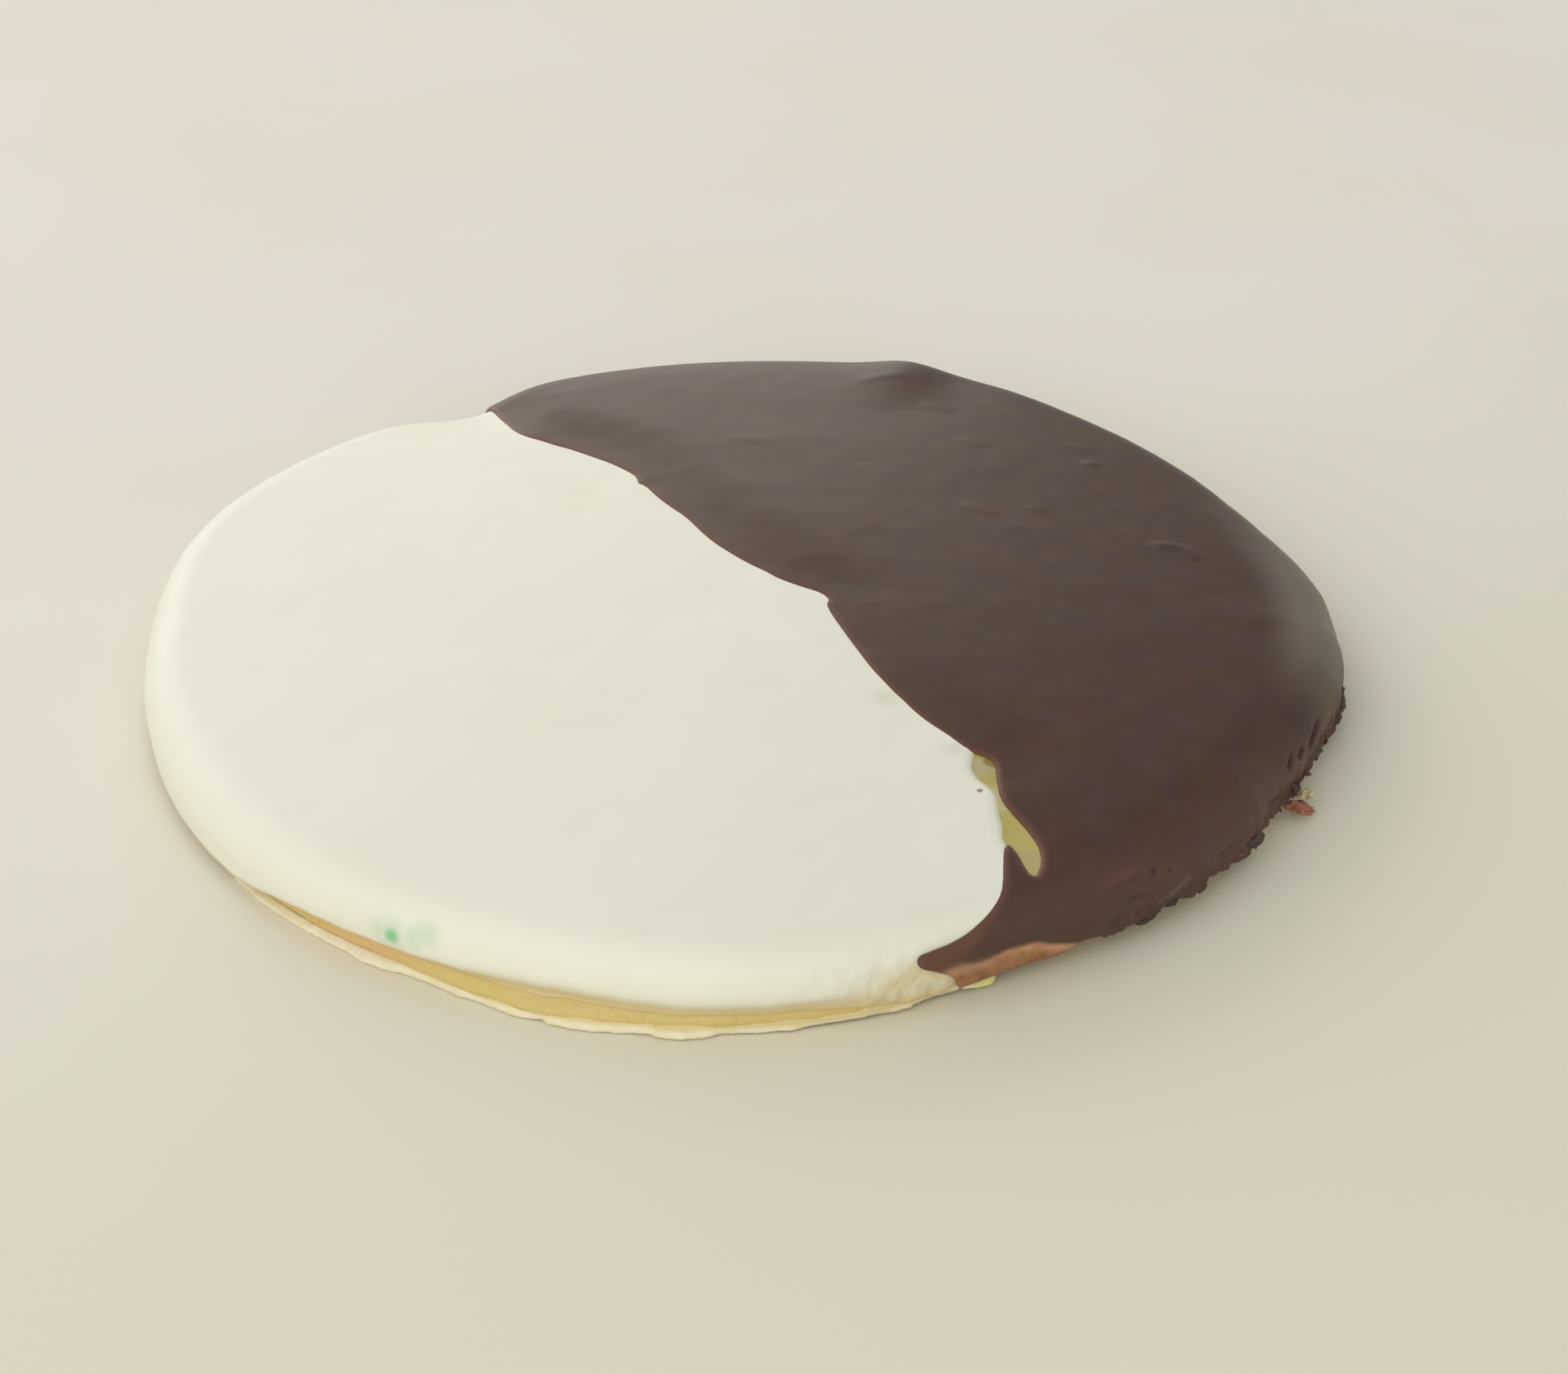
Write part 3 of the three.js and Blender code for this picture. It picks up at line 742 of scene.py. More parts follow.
class WhiteLook(bpy.types.PropertyGroup):
    """The white icing."""

    thickness: length("Thickness", "Thickness on top of the cake", 1.5, min=0)
    step: length("Step", "Size of the mesh's faces", 0.8, min=0.2 * MM)
    colour: tint("Colour", "Colour of the thick icing", 240, 238, 221)
    thin: tint("Thin", "Colour where it thins out over the crust", 216, 207, 174)
    film: tint("Film", "Colour of the lumpy film at the band's right end", 223, 210, 164)
    stain: tint("Stain", "Colour of the small stain", 104, 196, 126)


def white_material(look):
    finish = Finish("white_icing")
    cloud = finish.grain(16 * MM, 3).step(0.35, 0.7)
    marks = [(finish.spot(lay_one(x, y, 1.8), radius) * 0.35, 200, 198, 172) for x, y, radius in SHADES]
    colour = layered(look.colour, (cloud * 0.35, 235, 233, 212), *marks)
    patchy = finish.grain(1.8 * MM, 4)
    lumpy = finish.grain(2.6 * MM, 3).step(0.35, 0.65)
    specks = [(finish.spot(lay_at(*place, 0.7), 1.1) * 0.8, 222, 206, 86) for place in YELLOW_SPECKS]
    film = layered(look.film, (lumpy, 233, 225, 194), *specks)
    colour = (finish.painted("film") * (0.7 + patchy * 0.6)).mix(colour, film)
    thin = finish.painted("thin")
    colour = (thin.step(0.1, 0.75) * (0.75 + patchy * 0.5)).mix(colour, look.thin)
    colour = layered(colour, (thin.step(0.5, 1), 215, 195, 144),
                     (finish.painted("glazed") * 0.9, 220, 214, 168))
    halo = finish.spot(lay_at(*STAIN, 1.4), 3)
    for angle, drop in STAIN_SPOTS:
        halo = halo.larger(finish.spot(lay_at(angle, drop, 1.4), 2.3) * 0.8)
    core = finish.spot(lay_at(*STAIN, 1.3), 1.4)
    colour = (halo * 0.36 * (0.6 + patchy * 0.6)).mix(colour, look.stain)
    colour = (core.step(0, 1) * 0.75).mix(colour, look.stain)
    fleck = finish.spot(lay_one(*FLECK, 1.75), 0.5).step(0.1, 0.5)
    colour = layered(colour, (fleck * 0.8, 132, 100, 62))
    height = finish.grain(5 * MM, 3) * 0.4 + finish.grain(0.5 * MM, 2) * 0.06
    return finish.set(Base_Color=colour, Roughness=0.4 + patchy * 0.12, Specular_IOR_Level=0.45,
                      Normal=finish.bumpy(height, 0.2, 0.4 * MM))


class MakeWhiteIcing(bpy.types.Operator):
    """Pours the white icing, which thins out over the golden band and beside the bare leaf"""

    bl_idname = "cookie.make_white_icing"
    bl_label = "White icing"

    def execute(self, context):
        look = context.scene.cookie_white
        outline, widths, roundness = white_outline()
        top_grid, side_grid = (hexagonal(WHITE_BOX, step) for step in (look.step / MM, WHITE_SIDE_STEP))
        shoulder = TOP_RADIUS + 1
        grid = np.vstack([top_grid[np.hypot(*top_grid.T) < shoulder],
                          side_grid[np.hypot(*side_grid.T) > shoulder]])
        inner = outline.keep(grid, LIP_RINGS[-1] + 0.4)
        top, faces = filled(outline, np.vstack([outline.rings(LIP_RINGS), inner]))
        lift = white_lift(top, outline, widths, roundness, look.thickness / MM)
        lift += self.relief(top) * smooth(lift, 0.1, 0.7)
        upper = lay(top, lift)
        under, under_faces = filled(outline, outline.keep(hexagonal(WHITE_BOX, UNDER_STEP), UNDER_STEP / 2))
        piece = shell("white_icing_coat", [(upper, faces), (lay(under, 0), under_faces)])
        found = matched(piece, upper)
        angle, drop = angle_and_drop(top[found])
        depth = outline.depth(top)[found]
        width = 1.7 + 1.5 * stretch(angle, *THIN_STRETCH)
        paint(piece, "thin", (1 - smooth(depth, 0, width)) * smooth(drop, 2, 4))
        below = drop - 0.35 * np.maximum(-76 - angle, 0)
        paint(piece, "film", stretch(angle, *FILM_STRETCH) * smooth(below, 3, 5.5))
        glazed = 1 - smooth(lift[found], 1.45, 1.79)
        paint(piece, "glazed", glazed * smooth(drop, 1, 0) * smooth(angle, -66, -63))
        dress(piece, white_material(look), "white_icing", "white_icing")
        return {"FINISHED"}

    def relief(self, points):
        """Slow waves of the poured icing, a dimple, and wrinkles where it is only a film."""
        angle, drop = angle_and_drop(points)
        share = sum(height * stretch(angle, *at) * smooth(drop, *down) for at, down, height in WRINKLES)
        wrinkles = rough(points, 1.6, 0.8, 9) + rough(points, 0.7, 0.3, 4)
        return rough(points, 17, 0.1) + share * wrinkles + strokes(points, DIMPLE)


# ---------------------------------------------------------------- the foot of the white icing

# How far the foot's edge stands out from the cake's side, as (angle, outward).
FOOT_EDGE = [(-143, 0.1), (-140, 0.25), (-131, 0.2), (-127.7, 0.25), (-126.5, 0.62), (-123.9, 0.63),
             (-121.3, 0.15), (-118.9, 0.25), (-115.4, 0.84), (-113.9, 0.87), (-110, 1.7), (-107.3, 1.57),
             (-106.8, 1.82), (-104.7, 1.91), (-102.4, 1.75), (-99.2, 1.1), (-98, 1.1), (-97.2, 1.46),
             (-95.1, 1.56), (-93.1, 1.07), (-91.4, 0.2), (-85.7, 0.29), (-83.7, -0.15), (-80.7, -0.25),
             (-78, -0.05), (-75.8, 0.25), (-74.7, 0.12), (-74.3, -0.29), (-72.2, -0.69), (-69.6, -0.6),
             (-68.5, -0.3), (-67.5, -0.05), (-66.8, 0), (-66.2, -0.25), (-65.6, -0.7)]
FLAKES = (  # the flakes that it is torn into, as (from, to, how far each end curls up)
    (-145, -126, 0, 0), (-127.5, -106.4, 0, 0.3), (-107.3, -97.1, 0, 0.15), (-98, -91.2, 0.1, 0.12),
    (-92.2, -74.4, 0, 0.08), (-75.6, -69.4, 0, 0.05), (-70, -65.7, 0.1, 0),
)
FOOT_HEIGHT = [(-145, 0.7), (-128, 0.8), (-120, 1.15), (-70, 1.15), (-67, 0.75)]  # as (angle, height)
FOOT_PROFILE = [(0, 1), (0.1, 1), (0.3, 0.93), (0.6, 0.8), (0.85, 0.62), (0.97, 0.48), (1, 0.3), (0.96, 0.14),
                (0.8, 0.06), (0.4, 0.06), (0, 0.06)]  # its section, as shares of its reach and of its height
CURL_LENGTH = 2.5  # how far along a flake its end curls up, in degrees
RED_SPECK = (-91.3, 9.6)
LAST_FLAKE = (-67.2, 9.3)


class MakeFoot(bpy.types.Operator):
    """Makes the torn flakes of white icing along the foot of the golden band"""

    bl_idname = "cookie.make_foot"
    bl_label = "Icing foot"

    def execute(self, context):
        sheets = [self.flake(number, *flake) for number, flake in enumerate(FLAKES)]
        piece = shell("white_icing_foot", sheets)
        dress(piece, self.material(), "white_icing")
        return {"FINISHED"}

    def flake(self, number, start, end, start_curl, end_curl):
        """One torn flake: it lies against the cake's side and thins out to a ragged edge on the tray."""
        angles = np.arange(start, end, 0.2)
        ends = np.minimum(1, np.minimum(angles - start, end - angles + 0.2) / 0.8) ** 0.5
        curl = (start_curl * (1 - smooth(angles - start, 0, CURL_LENGTH))
                + end_curl * (1 - smooth(end - angles, 0, CURL_LENGTH)))
        seed = number * 7
        ragged = rough(angles[:, None], 1.6, 0.12, seed) + rough(angles[:, None], 0.5, 0.06, seed + 3)
        outer = rim_radius(angles) + np.interp(angles, *zip(*FOOT_EDGE)) + ragged - 0.4 * (1 - ends)
        top = np.interp(angles, *zip(*FOOT_HEIGHT)) + rough(angles[:, None], 3, 0.2, seed + 5)
        top *= 0.6 + 0.4 * ends
        rows = []
        for outward, upward in FOOT_PROFILE:
            z = np.maximum(0.05, top * upward)
            surface = np.array([drop_at(value) for value in z])
            inner = section(angles, TOP_RADIUS + surface)[0] - 0.1
            radius = inner + (np.maximum(outer, inner + 0.25) - inner) * outward
            wave = rough(np.stack([angles, angles * 0 + outward * 2], 1), 0.8, 0.05, number)
            z = z + rim_shift(angles, radius, z) * (1 - 0.85 * outward)
            z = z + wave * (0.2 + outward) + curl * outward
            rows.append(np.stack([*around(angles, radius), z], 1))
        points = np.array(rows) * MM
        points[:, :, 2] = np.maximum(points[:, :, 2], 0.03 * MM)
        rows, count = points.shape[:2]
        faces = [(a * count + i, b * count + i, b * count + i + 1, a * count + i + 1)
                 for a, b in zip(range(rows), [*range(1, rows), 0]) for i in range(count - 1)]
        first = [a * count for a in range(rows)]
        caps = [tuple(first), tuple(a + count - 1 for a in first[::-1])]
        return points.reshape(-1, 3), faces + caps

    def material(self):
        finish = Finish("torn_icing")
        patchy = finish.grain(2.4 * MM, 4)
        dusty = finish.grain(0.8 * MM, 3).step(0.55, 0.75)
        upper = finish.along_axis("z").step(0.7 * MM, 1.15 * MM)
        speck = finish.spot(lay_at(*RED_SPECK, 2), 0.7).step(0.1, 0.5)
        last = finish.spot(lay_at(*LAST_FLAKE, 0.4), 2.2).step(0, 0.5)
        colour = layered(seen(235, 226, 186), (patchy.step(0.35, 0.7), 240, 234, 206),
                         (dusty * 0.3, 222, 204, 154), (upper * 0.85, 222, 202, 142),
                         (speck * 0.7, 150, 72, 60), (last * 0.8, 226, 222, 128))
        relief = finish.bumpy(finish.grain(0.9 * MM, 4), 0.4, 0.25 * MM)
        return finish.set(Base_Color=colour, Roughness=0.5 + patchy * 0.15, Normal=relief)


# ---------------------------------------------------------------- the chocolate icing

CHOCOLATE_LIP_RINGS = (0.03, 0.1, 0.22, 0.4, 0.65, 0.95)
FINE_SIDE = {"drop": 2.4, "from": -66, "to": -1, "step": 0.24}  # where the mesh has smaller faces
LOWEST = 0.05  # how far above the tray the icing stays
SHEEN_STRETCHES = ((-20, -2, 4, 32), (-5, 1.5, 2.5, 5.5))  # the stretches of angle and drop of the painted sheen on the rim: a painted reflection
PINK_STRETCH = (-73.5, -70.5, -59, -56.5)


class ChocolateLook(bpy.types.PropertyGroup):
    """The chocolate icing."""

    thickness: length("Thickness", "Thickness on top of the cake", 2.1, min=0)
    edge: length("Edge", "How far its edge stands above the white icing", 0.12)
    step: length("Step", "Size of the mesh's faces", 0.55, min=0.2 * MM)
    colour: tint("Colour", "Colour of the thick icing", 77, 53, 38)
    reddish: tint("Reddish", "Colour of the thin edge", 114, 77, 64)
    film: tint("Film", "Colour of the film below the tongue", 198, 152, 116)


def chocolate_material(look):
    finish = Finish("chocolate_icing")
    rightward = 0.35 + finish.along_axis("x").step(0, 40 * MM) * 0.65
    cool = finish.grain(5.5 * MM, 4).step(0.38, 0.66) * rightward
    olive = finish.grain(4.5 * MM, 4, squeezed=3).step(0.5, 0.7)
    brown = finish.grain(3.4 * MM, 4).step(0.52, 0.7)
    colour = layered(look.colour, (cool * 0.45, 72, 55, 60), (olive * 0.45, 78, 61, 36),
                     # a lighter, redder tone on the near shoulder: painted light against the shade where it
                     # turns down, with a redder tone
                     (brown * 0.28, 94, 62, 50), (finish.painted("side") * 0.5, 98, 76, 66),
                     # a paler tone on the right rim's shoulder: a painted sheen that stands in for a
                     # reflection
                     (finish.painted("bloom") * 0.75, 132, 123, 110))
    colour = (finish.painted("edge") * 0.7).mix(colour, look.reddish)
    crumbly = finish.painted("crumbly")
    speckle = finish.grain(1.8 * MM, 4)
    colour = layered(colour, (crumbly * speckle.step(0.5, 0.68) * 0.45, 104, 78, 66),
                     (crumbly * speckle.step(0.44, 0.32) * 0.45, 60, 48, 48),
                     (finish.painted("smear") * 0.3, 124, 112, 102),
                     # painted shade in the cracks, darker where they are deeper
                     (finish.painted("cracked") * 0.65, 48, 38, 38),
                     (finish.painted("red") * (0.2 + speckle * 0.5), 112, 76, 62))
    # The film is painted darker towards its lower part, painted shade below its ledge, with yellowish spots
    # where the crust shows through.
    low = finish.painted("low")
    streak = finish.grain(1.5 * MM, 4).step(0.35, 0.65) * 0.3 + low * 0.6
    spots = finish.grain(2.4 * MM, 3).step(0.5, 0.7) * low * 0.5
    pink = layered(look.film, (streak, 142, 92, 58), (spots, 164, 132, 84))
    colour = (finish.painted("film") * (0.6 + speckle * 0.7)).mix(colour, pink)
    height = finish.grain(6 * MM, 2) * 0.14 + speckle * (0.02 + crumbly * 0.5)
    return finish.set(Base_Color=colour, Roughness=0.39 + cool * 0.02 + crumbly * 0.15,
                      Specular_IOR_Level=0.18, Normal=finish.bumpy(height, 0.25, 0.4 * MM))


class MakeChocolateIcing(bpy.types.Operator):
    """Pours the chocolate icing, with its ridges, its cracked side and the thin film below its tongue"""

    bl_idname = "cookie.make_chocolate_icing"
    bl_label = "Chocolate icing"

    def execute(self, context):
        look = context.scene.cookie_chocolate
        white = context.scene.cookie_white.thickness / MM
        rise = look.edge / MM
        outline, border = chocolate_outline()
        white_shape = (*white_outline(), white)
        seat = white_lift(outline.points, *white_shape)
        x, y = outline.points[:border].T
        seat[:border] = np.maximum(seat[:border], GLAZE_LIFT * (smooth(x, 22, 24) * smooth(y, -54, -52)))
        seat[border:] = 0
        seat = round_average(seat, 2)
        grid, fine = (hexagonal(CHOCOLATE_BOX, step) for step in (look.step / MM, FINE_SIDE["step"]))
        grid = np.vstack([grid[~self.on_side(grid)], fine[self.on_side(fine)]])
        grid = grid[outline.inside(grid)]
        grid = grid[outline.depth(grid) > np.where(self.on_side(grid), 1.1, 1.3)]
        top, faces = filled(outline, np.vstack([outline.rings(CHOCOLATE_LIP_RINGS), grid]))
        index = outline.nearest(top)
        depth = outline.distance(top, index)
        from_divide = Outline(outline.points[:border]).depth(top)
        full = chocolate_full(top, from_divide, look.thickness / MM, white)
        full += rise * (1 - 0.4 * smooth(from_divide, 0, 4))
        full = np.maximum(full, white_lift(top, *white_shape) + rise)
        share = lip(depth, np.where(index < border, 0.8, 0.9), 2)
        lift = seat[index] + (full - seat[index]) * share
        crumbly = in_crumbly(*angle_and_drop(top))
        relief = strokes(top, RIDGES) + rough(top, 14, 0.06) - cracks(top)
        relief += crumbly * (rough(top, 2.8, 0.38, 2, 3) + rough(top, 0.9, 0.08, 4, 2))
        upper = lay(top, np.maximum(lift + relief * share, seat[index] * (depth < 0.02)))
        coarse = outline.keep(hexagonal(CHOCOLATE_BOX, 2.5), 1.6)
        under, under_faces = filled(outline, np.vstack([outline.rings([0.7]), coarse]))
        index = outline.nearest(under)
        lower = lay(under, seat[index] * (1 - smooth(outline.distance(under, index), 0, 1.6)))
        for points in (upper, lower):
            points[:, 2] = np.maximum(points[:, 2], LOWEST * MM)
        piece = shell("chocolate_icing_coat", [(upper, faces), (lower, under_faces)])
        found = matched(piece, upper)
        on_tongue = smooth(top[:, 0], 25, 20) * smooth(top[:, 1], -56, -60)
        paint(piece, "edge", (1 - smooth(from_divide, 0.1, 0.9 + 3 * on_tongue))[found])
        paint(piece, "crumbly", crumbly[found])
        # the cracks are painted dark: painted shade in their hollows
        paint(piece, "cracked", smooth(cracks(top), 0.1, 0.5)[found])
        self.paint_side(piece, top[found])
        dress(piece, chocolate_material(look), "chocolate_icing", "chocolate_icing")
        return {"FINISHED"}

    def on_side(self, places):
        """Whether each place is down the near side, where the mesh is finer."""
        angle, drop = angle_and_drop(places)
        return (drop > FINE_SIDE["drop"]) & (angle > FINE_SIDE["from"]) & (angle < FINE_SIDE["to"])

    def paint_side(self, piece, places):
        """Paints the side's greyish and reddish parts, the painted light on the near shoulder, the painted
        sheen on the right rim, and the film with painted shade on its lower part.
        """
        angle, drop = angle_and_drop(places)
        # painted light on the near shoulder, lifting it where it turns down away from the lamps, and a redder
        # tone there
        paint(piece, "side", smooth(drop, -1, 3) * smooth(angle, -18, -32))
        # where the right rim is painted paler: a painted sheen in place of a reflection
        paint(piece, "bloom", stretch(angle, *SHEEN_STRETCHES[0]) * stretch(drop, *SHEEN_STRETCHES[1]))
        below = drop - np.interp(angle, *zip(*PINK_TOP))
        paint(piece, "film", smooth(below, -0.3, 0.5) * stretch(angle, *PINK_STRETCH))
        # how far below the film's top a place lies: it carries the film's painted shade and its yellowish
        # spots
        paint(piece, "low", smooth(below, 0.5, 2))
        start, end = (on_sheet(*place) for place in PALE_SMEAR)
        side = end - start
        share = np.clip((places - start) @ side / (side @ side), 0, 1)
        away = np.hypot(*(places - start - share[:, None] * side).T)
        paint(piece, "smear", 1 - smooth(away, 0, 0.6))
        paint(piece, "red", sum(np.exp(-((angle - at) / wide) ** 2 - ((drop - down) / tall) ** 2)
                                for at, down, wide, tall in RED_PATCHES))


# ---------------------------------------------------------------- crumbs in the hem

# The larger crumbs, as (angle, drop, out, half sizes outward, around and upward, shade),
# with a shade of 0 for dark, 1 reddish, 2 pale and 3 red.
LUMPS = (
    (-6.2, 6.1, 1.5, (0.8, 2, 1.3), 0), (-8.9, 6.6, 1.3, (0.75, 1.1, 1), 0),
    (-12.5, 6.9, 0.6, (0.6, 1.6, 0.9), 1), (-15.6, 7.3, 0.4, (0.6, 1.2, 0.7), 1),
    (-20.4, 6.8, 0.8, (0.7, 0.25, 0.25), 1), (-22.9, 7.6, 0.5, (0.8, 0.8, 0.7), 0),
    (-23.6, 8.7, 1.8, (1.5, 0.8, 0.65), 3), (-22.9, 7.7, 1.8, (0.8, 0.6, 0.5), 2),
    (-22.1, 7.9, 2.1, (0.35, 0.25, 0.25), 2), (-33.4, 7.1, 1, (0.9, 1.6, 1), 0),
    (-36, 7.9, 0.8, (0.7, 1.3, 0.6), 1), (-42.4, 8.3, 1.25, (0.7, 0.7, 0.6), 0),
    (-46.3, 8.2, 0.95, (0.8, 0.7, 0.6), 0), (-49.7, 8.6, 1.1, (0.6, 1.5, 0.5), 0),
    (-38.5, 4, 1.35, (0.2, 0.3, 0.18), 1), (-34.1, 3.8, 1.25, (0.2, 0.25, 0.18), 1),
    (14, 7.8, 1.4, (0.6, 0.7, 0.5), 0), (27, 7.9, 1.2, (0.5, 0.5, 0.4), 0),
    (41, 7.8, 1.3, (0.6, 0.9, 0.4), 1), (58, 7.9, 1.2, (0.5, 0.6, 0.4), 0),
    (82, 7.8, 1.3, (0.6, 0.8, 0.5), 0), (101, 7.9, 1.2, (0.5, 0.5, 0.4), 1),
)
SHADE_COLOURS = (((66, 54, 55), (84, 66, 58)), ((88, 62, 54), (112, 80, 66)),
                 ((168, 144, 108), (208, 198, 150)), ((146, 98, 74), (176, 120, 94)))
NEAR_SHARE = 0.8  # of the small crumbs, as many lie along the near side as this
NEAR_CRUMBS = ((-54, -4), (4.6, 8.8))  # the angles and drops between which they lie
FAR_CRUMBS = ((-2, 116), (7.4, 8.8))
LUMP_RELIEF = ((0.45, 1.3), (0.3, 3.1), (0.12, 7))  # a lump's unevenness, as (strength, frequency)


class CrumbLook(bpy.types.PropertyGroup):
    """The crumbs that stick to the chocolate's hem."""

    count: IntProperty(name="Count", description="How many small crumbs there are", default=64, min=0)
    seed: IntProperty(name="Seed", description="Which scatter of small crumbs", default=12)
    largest: length("Largest", "Radius of the largest small crumb", 0.34)


class MakeCrumbs(bpy.types.Operator):
    """Makes the lumps and small crumbs that stick to the chocolate's hem"""

    bl_idname = "cookie.make_crumbs"
    bl_label = "Crumbs"

    def execute(self, context):
        look = context.scene.cookie_crumbs
        made = bmesh.new()
        shade = made.verts.layers.float.new("shade")
        for number, (angle, drop, out, sizes, colour) in enumerate(LUMPS):
            self.lump(made, shade, lay_at(angle, drop, out), angle, sizes, colour, number, 4)
        draw = np.random.default_rng(look.seed)
        for number in range(look.count):
            bounds = NEAR_CRUMBS if draw.random() < NEAR_SHARE else FAR_CRUMBS
            angle, drop = (draw.uniform(*ends) for ends in bounds)
            size = look.largest / MM * (0.4 + 0.6 * draw.random() ** 2)
            colour = draw.choice(3, p=(0.7, 0.25, 0.05))
            out = np.interp(angle, *zip(*SIDE_LIFT)) * 0.6 + 0.25 * draw.random()
            sizes = (size, size * 1.3, size)
            self.lump(made, shade, lay_at(angle, drop, out), angle, sizes, colour, number + 50, 2)
        piece = to_object("chocolate_crumbs", made)
        dress(piece, self.material(), "chocolate_icing")
        return {"FINISHED"}

    def lump(self, made, shade, centre, angle, sizes, colour, number, fineness):
        """One rough lump on the side, kept above the tray."""
        centre.z = max(centre.z, (0.8 * sizes[2] + 0.05) * MM)
        turn = Matrix.Rotation(math.radians(angle + 15 * math.sin(number)), 3, "Z")
        shift = Vector((number * 3.7, number * 1.3, 0))
        for vert in bmesh.ops.create_icosphere(made, subdivisions=fineness, radius=1)["verts"]:
            p = vert.co.copy()
            swell = 1
            for strength, frequency in LUMP_RELIEF:
                swell += strength * noise.noise(p * frequency + shift)
            vert.co = centre + turn @ Vector(c * size for c, size in zip(p, sizes)) * swell * MM
            vert.co.z = max(vert.co.z, 0.03 * MM)
            vert[shade] = colour / 3

    def material(self):
        finish = Finish("crumbs")
        shade = finish.painted("shade")
        grain = finish.grain(0.6 * MM, 4)
        blend = grain.step(0.35, 0.65)
        colour, *others = (blend.mix(seen(*one), seen(*other)) for one, other in SHADE_COLOURS)
        for (low, high), other in zip(((0, 0.33), (0.34, 0.66), (0.67, 1)), others):
            colour = shade.step(low, high).mix(colour, other)
        relief = finish.bumpy(grain, 0.5, 0.2 * MM)
        return finish.set(Base_Color=colour, Roughness=0.6 + grain * 0.2, Normal=relief)


# ---------------------------------------------------------------- the leaf of glaze

GLAZE_EDGE = [(23.4, -30.4), (25.6, -31.4), (27.3, -32.8), (27.6, -34.6), (27.7, -37.2), (27.9, -39.4),
              (28.5, -41.2), (29.4, -43.1), (30.3, -44.9), (31.2, -47.1), (31.5, -49.5), (31.3, -51.9),
              (30, -53.7), (28.3, -52.6), (27.2, -50.6), (26.4, -48.6), (25.9, -47), (25.9, -44.9),
              (25.7, -43.4), (25.6, -41.4), (25.4, -39.9), (24.6, -38.9), (24.2, -38.4), (23.4, -36.8),
              (23, -34.9), (22.9, -33.3), (22.8, -31.6)]
GLAZE_COLOURS = (  # along the leaf, as (x, y, radius, share, colour)
    (24.6, -34.6, 2.6, 0.9, (180, 168, 122)), (26.3, -33.3, 1.5, 0.95, (130, 114, 30)),
    (26.6, -40, 3.4, 0.9, (196, 185, 134)), (29.6, -50.8, 3.2, 0.85, (184, 167, 110)),
)


class MakeGlaze(bpy.types.Operator):
    """Makes the smooth, pale glaze that shows between the two icings"""

    bl_idname = "cookie.make_glaze"
    bl_label = "Leaf of glaze"

    def execute(self, context):
        outline = Outline(along(GLAZE_EDGE[::-1] + GLAZE_EDGE[-1:], 0.35)[:-1])
        top, faces = filled(outline, outline.keep(hexagonal((20, 34, -56, -28), 0.4), 0.3))
        depth = outline.depth(top)
        on_edge = depth < 1e-3
        lift = GLAZE_LIFT * smooth(depth, -0.4, 0.4) + rough(top, 3, 0.05, 3)
        sheets = [(lay(top, np.where(on_edge, 0.1, height)), faces) for height in (lift, 0.02)]
        piece = shell("leaf_glaze", sheets)
        dress(piece, self.material(), "white_icing")
        return {"FINISHED"}

    def material(self):
        finish = Finish("pale_glaze")
        cloud = finish.grain(3 * MM, 3)
        spots = [(finish.spot(lay_one(x, y, GLAZE_LIFT), radius).step(0, 0.6) * share, *channels)
                 for x, y, radius, share, channels in GLAZE_COLOURS]
        colour = layered(seen(188, 175, 98), (cloud.step(0.35, 0.65), 178, 166, 84), *spots)
        relief = finish.bumpy(cloud, 0.15, 0.3 * MM)
        return finish.set(Base_Color=colour, Roughness=0.3 + cloud * 0.1, Normal=relief)


# ---------------------------------------------------------------- the stage

LOOK_AT = Vector((4.1, -7.05, 5)) * MM
SKY_COLOUR = (1, 0.99, 0.966, 1)
LIGHTS = (  # the square lights that face the cookie, as (name, place, size, colour)
    ("key", (-0.6, -0.6, 0.6), 1, (1, 1, 1)),
    ("window", (-0.3, 1.3, 0.35), 0.9, (1, 0.95, 0.87)),
    ("left", (-0.9, 0.9, 0.4), 1, (1, 1, 1)),
    ("front", (0, -1.2, 0.5), 1.2, (1, 1, 1)),
)


class StageLook(bpy.types.PropertyGroup):
    """The floor, the lights and the camera."""

    floor: tint("Floor", "Colour of the floor", 232, 228, 208)
    sky: FloatProperty(name="Sky", description="Strength of the light from all around", default=0.54, min=0)
    key: power("Key", "Power of the soft light from the near left", 2.7)
    window: power("Window", "Power of the low light from behind", 4)
    left: power("Left", "Power of the low light from the far left", 3.9)
    front: power("Front", "Power of the soft light from the front", 4)
    distance: length("Distance", "Distance from the camera to what it looks at", 420)
    elevation: FloatProperty(name="Elevation", description="How far above the table the camera looks from",
                             default=math.radians(30.7), subtype="ANGLE")
    lens: FloatProperty(name="Lens", description="Focal length on a 36 mm sensor", default=88.94)


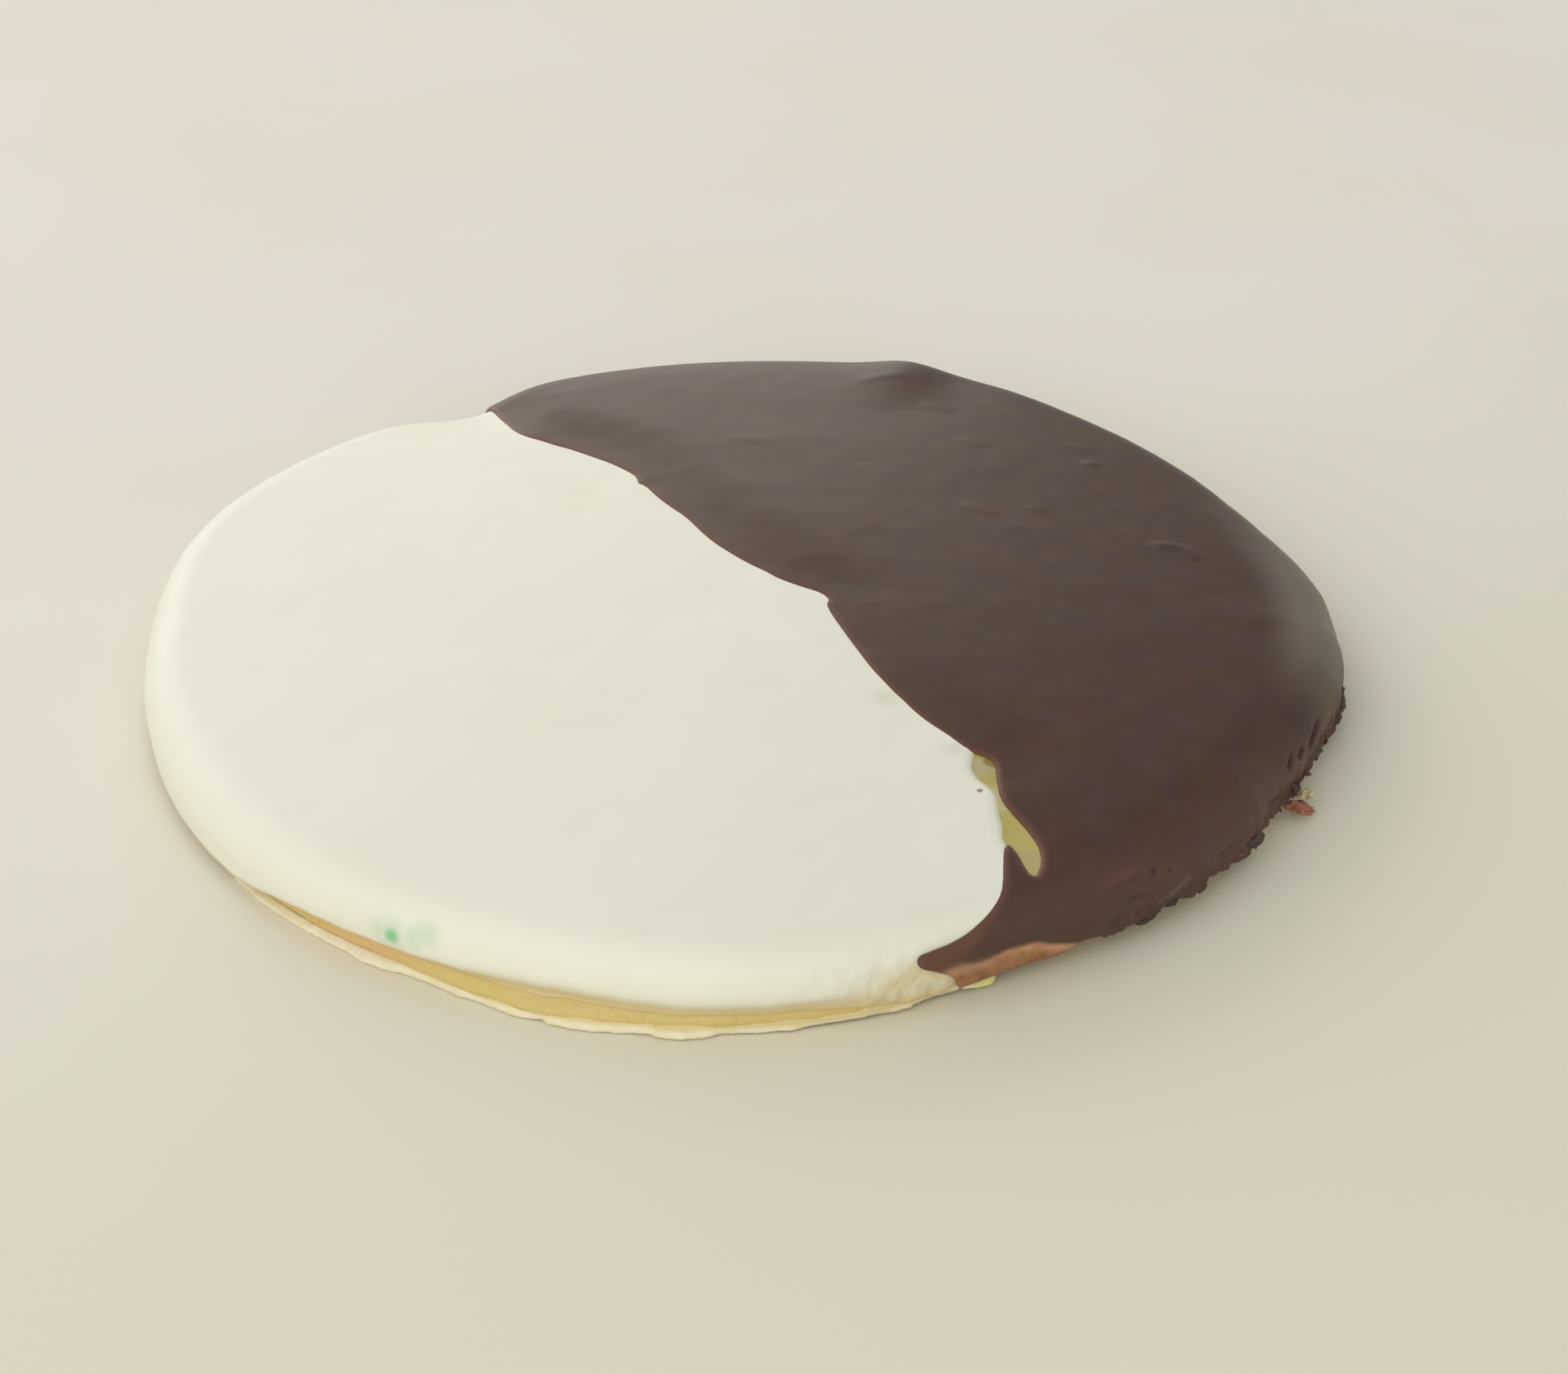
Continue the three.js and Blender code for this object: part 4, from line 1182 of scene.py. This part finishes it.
class SetStage(bpy.types.Operator):
    """Sets up the pale floor, the soft lights and the camera"""

    bl_idname = "cookie.set_stage"
    bl_label = "Stage"

    def execute(self, context):
        look = context.scene.cookie_stage
        scene = context.scene
        scene.view_settings.view_transform = "Standard"
        self.floor(look)
        for name, place, size, colour in LIGHTS:
            lamp = bpy.data.objects.new(name + "_light", bpy.data.lights.new(name + "_light", "AREA"))
            lamp.data.energy = getattr(look, name)
            lamp.data.size = size
            lamp.data.color = colour
            lamp.location = place
            lamp.rotation_euler = (-Vector(place)).to_track_quat("-Z", "Y").to_euler()
            scene.collection.objects.link(lamp)
        world = bpy.data.worlds.new("soft_sky")
        world.use_nodes = True
        background = world.node_tree.nodes["Background"]
        background.inputs["Color"].default_value = SKY_COLOUR
        background.inputs["Strength"].default_value = look.sky
        scene.world = world
        camera = bpy.data.objects.new("camera", bpy.data.cameras.new("camera"))
        camera.data.lens = look.lens
        camera.data.sensor_width = 36
        camera.data.clip_start = 0.01
        back = Vector((0, -math.cos(look.elevation), math.sin(look.elevation)))
        camera.location = LOOK_AT + back * look.distance
        camera.rotation_euler = (math.pi / 2 - look.elevation, 0, 0)
        scene.collection.objects.link(camera)
        scene.camera = camera
        return {"FINISHED"}

    def floor(self, look):
        made = bmesh.new()
        bmesh.ops.create_grid(made, x_segments=2, y_segments=2, size=2)
        floor = to_object("floor", made)
        finish = Finish("pale_paper")
        x, y = finish.along_axis("x"), finish.along_axis("y")
        # The floor is painted lighter towards the far left: painted light where the lamps on the left fall
        # most.
        near = (y - x * 0.6).step(-0.1, 0.08).mix(look.floor, seen(241, 237, 225))
        colour = (finish.grain(60 * MM, 3).step(0.35, 0.7) * 0.2).mix(near, seen(229, 224, 203))
        relief = finish.bumpy(finish.grain(0.7 * MM, 3), 0.05, 0.1 * MM)
        finish.set(Base_Color=colour, Roughness=0.75, Specular_IOR_Level=0.2, Normal=relief)
        floor.data.materials.append(finish.material)


# ---------------------------------------------------------------- the add-on

LOOKS = {"cookie_crust": CrustLook, "cookie_white": WhiteLook, "cookie_chocolate": ChocolateLook,
         "cookie_crumbs": CrumbLook, "cookie_stage": StageLook}
OPERATORS = (MakeCrust, MakeWhiteIcing, MakeFoot, MakeChocolateIcing, MakeCrumbs, MakeGlaze, SetStage)


class CookiePanel(bpy.types.Panel):
    """Lists the cookie's pieces and what can be changed on them"""

    bl_idname = "COOKIE_PT_pieces"
    bl_label = "Cookie"
    bl_space_type = "VIEW_3D"
    bl_region_type = "UI"
    bl_category = "Cookie"

    def draw(self, context):
        for operator in OPERATORS:
            self.layout.operator(operator.bl_idname)
        for name, group in LOOKS.items():
            box = self.layout.box()
            for prop in group.__annotations__:
                box.prop(getattr(context.scene, name), prop)


CLASSES = (*LOOKS.values(), *OPERATORS, CookiePanel)


def register():
    for made in CLASSES:
        bpy.utils.register_class(made)
    for name, group in LOOKS.items():
        setattr(bpy.types.Scene, name, PointerProperty(type=group))


def unregister():
    for name in LOOKS:
        delattr(bpy.types.Scene, name)
    for made in reversed(CLASSES):
        bpy.utils.unregister_class(made)


def main():
    register()
    bpy.ops.cookie.make_crust()
    bpy.ops.cookie.make_white_icing()
    bpy.ops.cookie.make_foot()
    bpy.ops.cookie.make_chocolate_icing()
    bpy.ops.cookie.make_crumbs()
    bpy.ops.cookie.make_glaze()
    bpy.ops.cookie.set_stage()


if __name__ == "__main__":
    main()
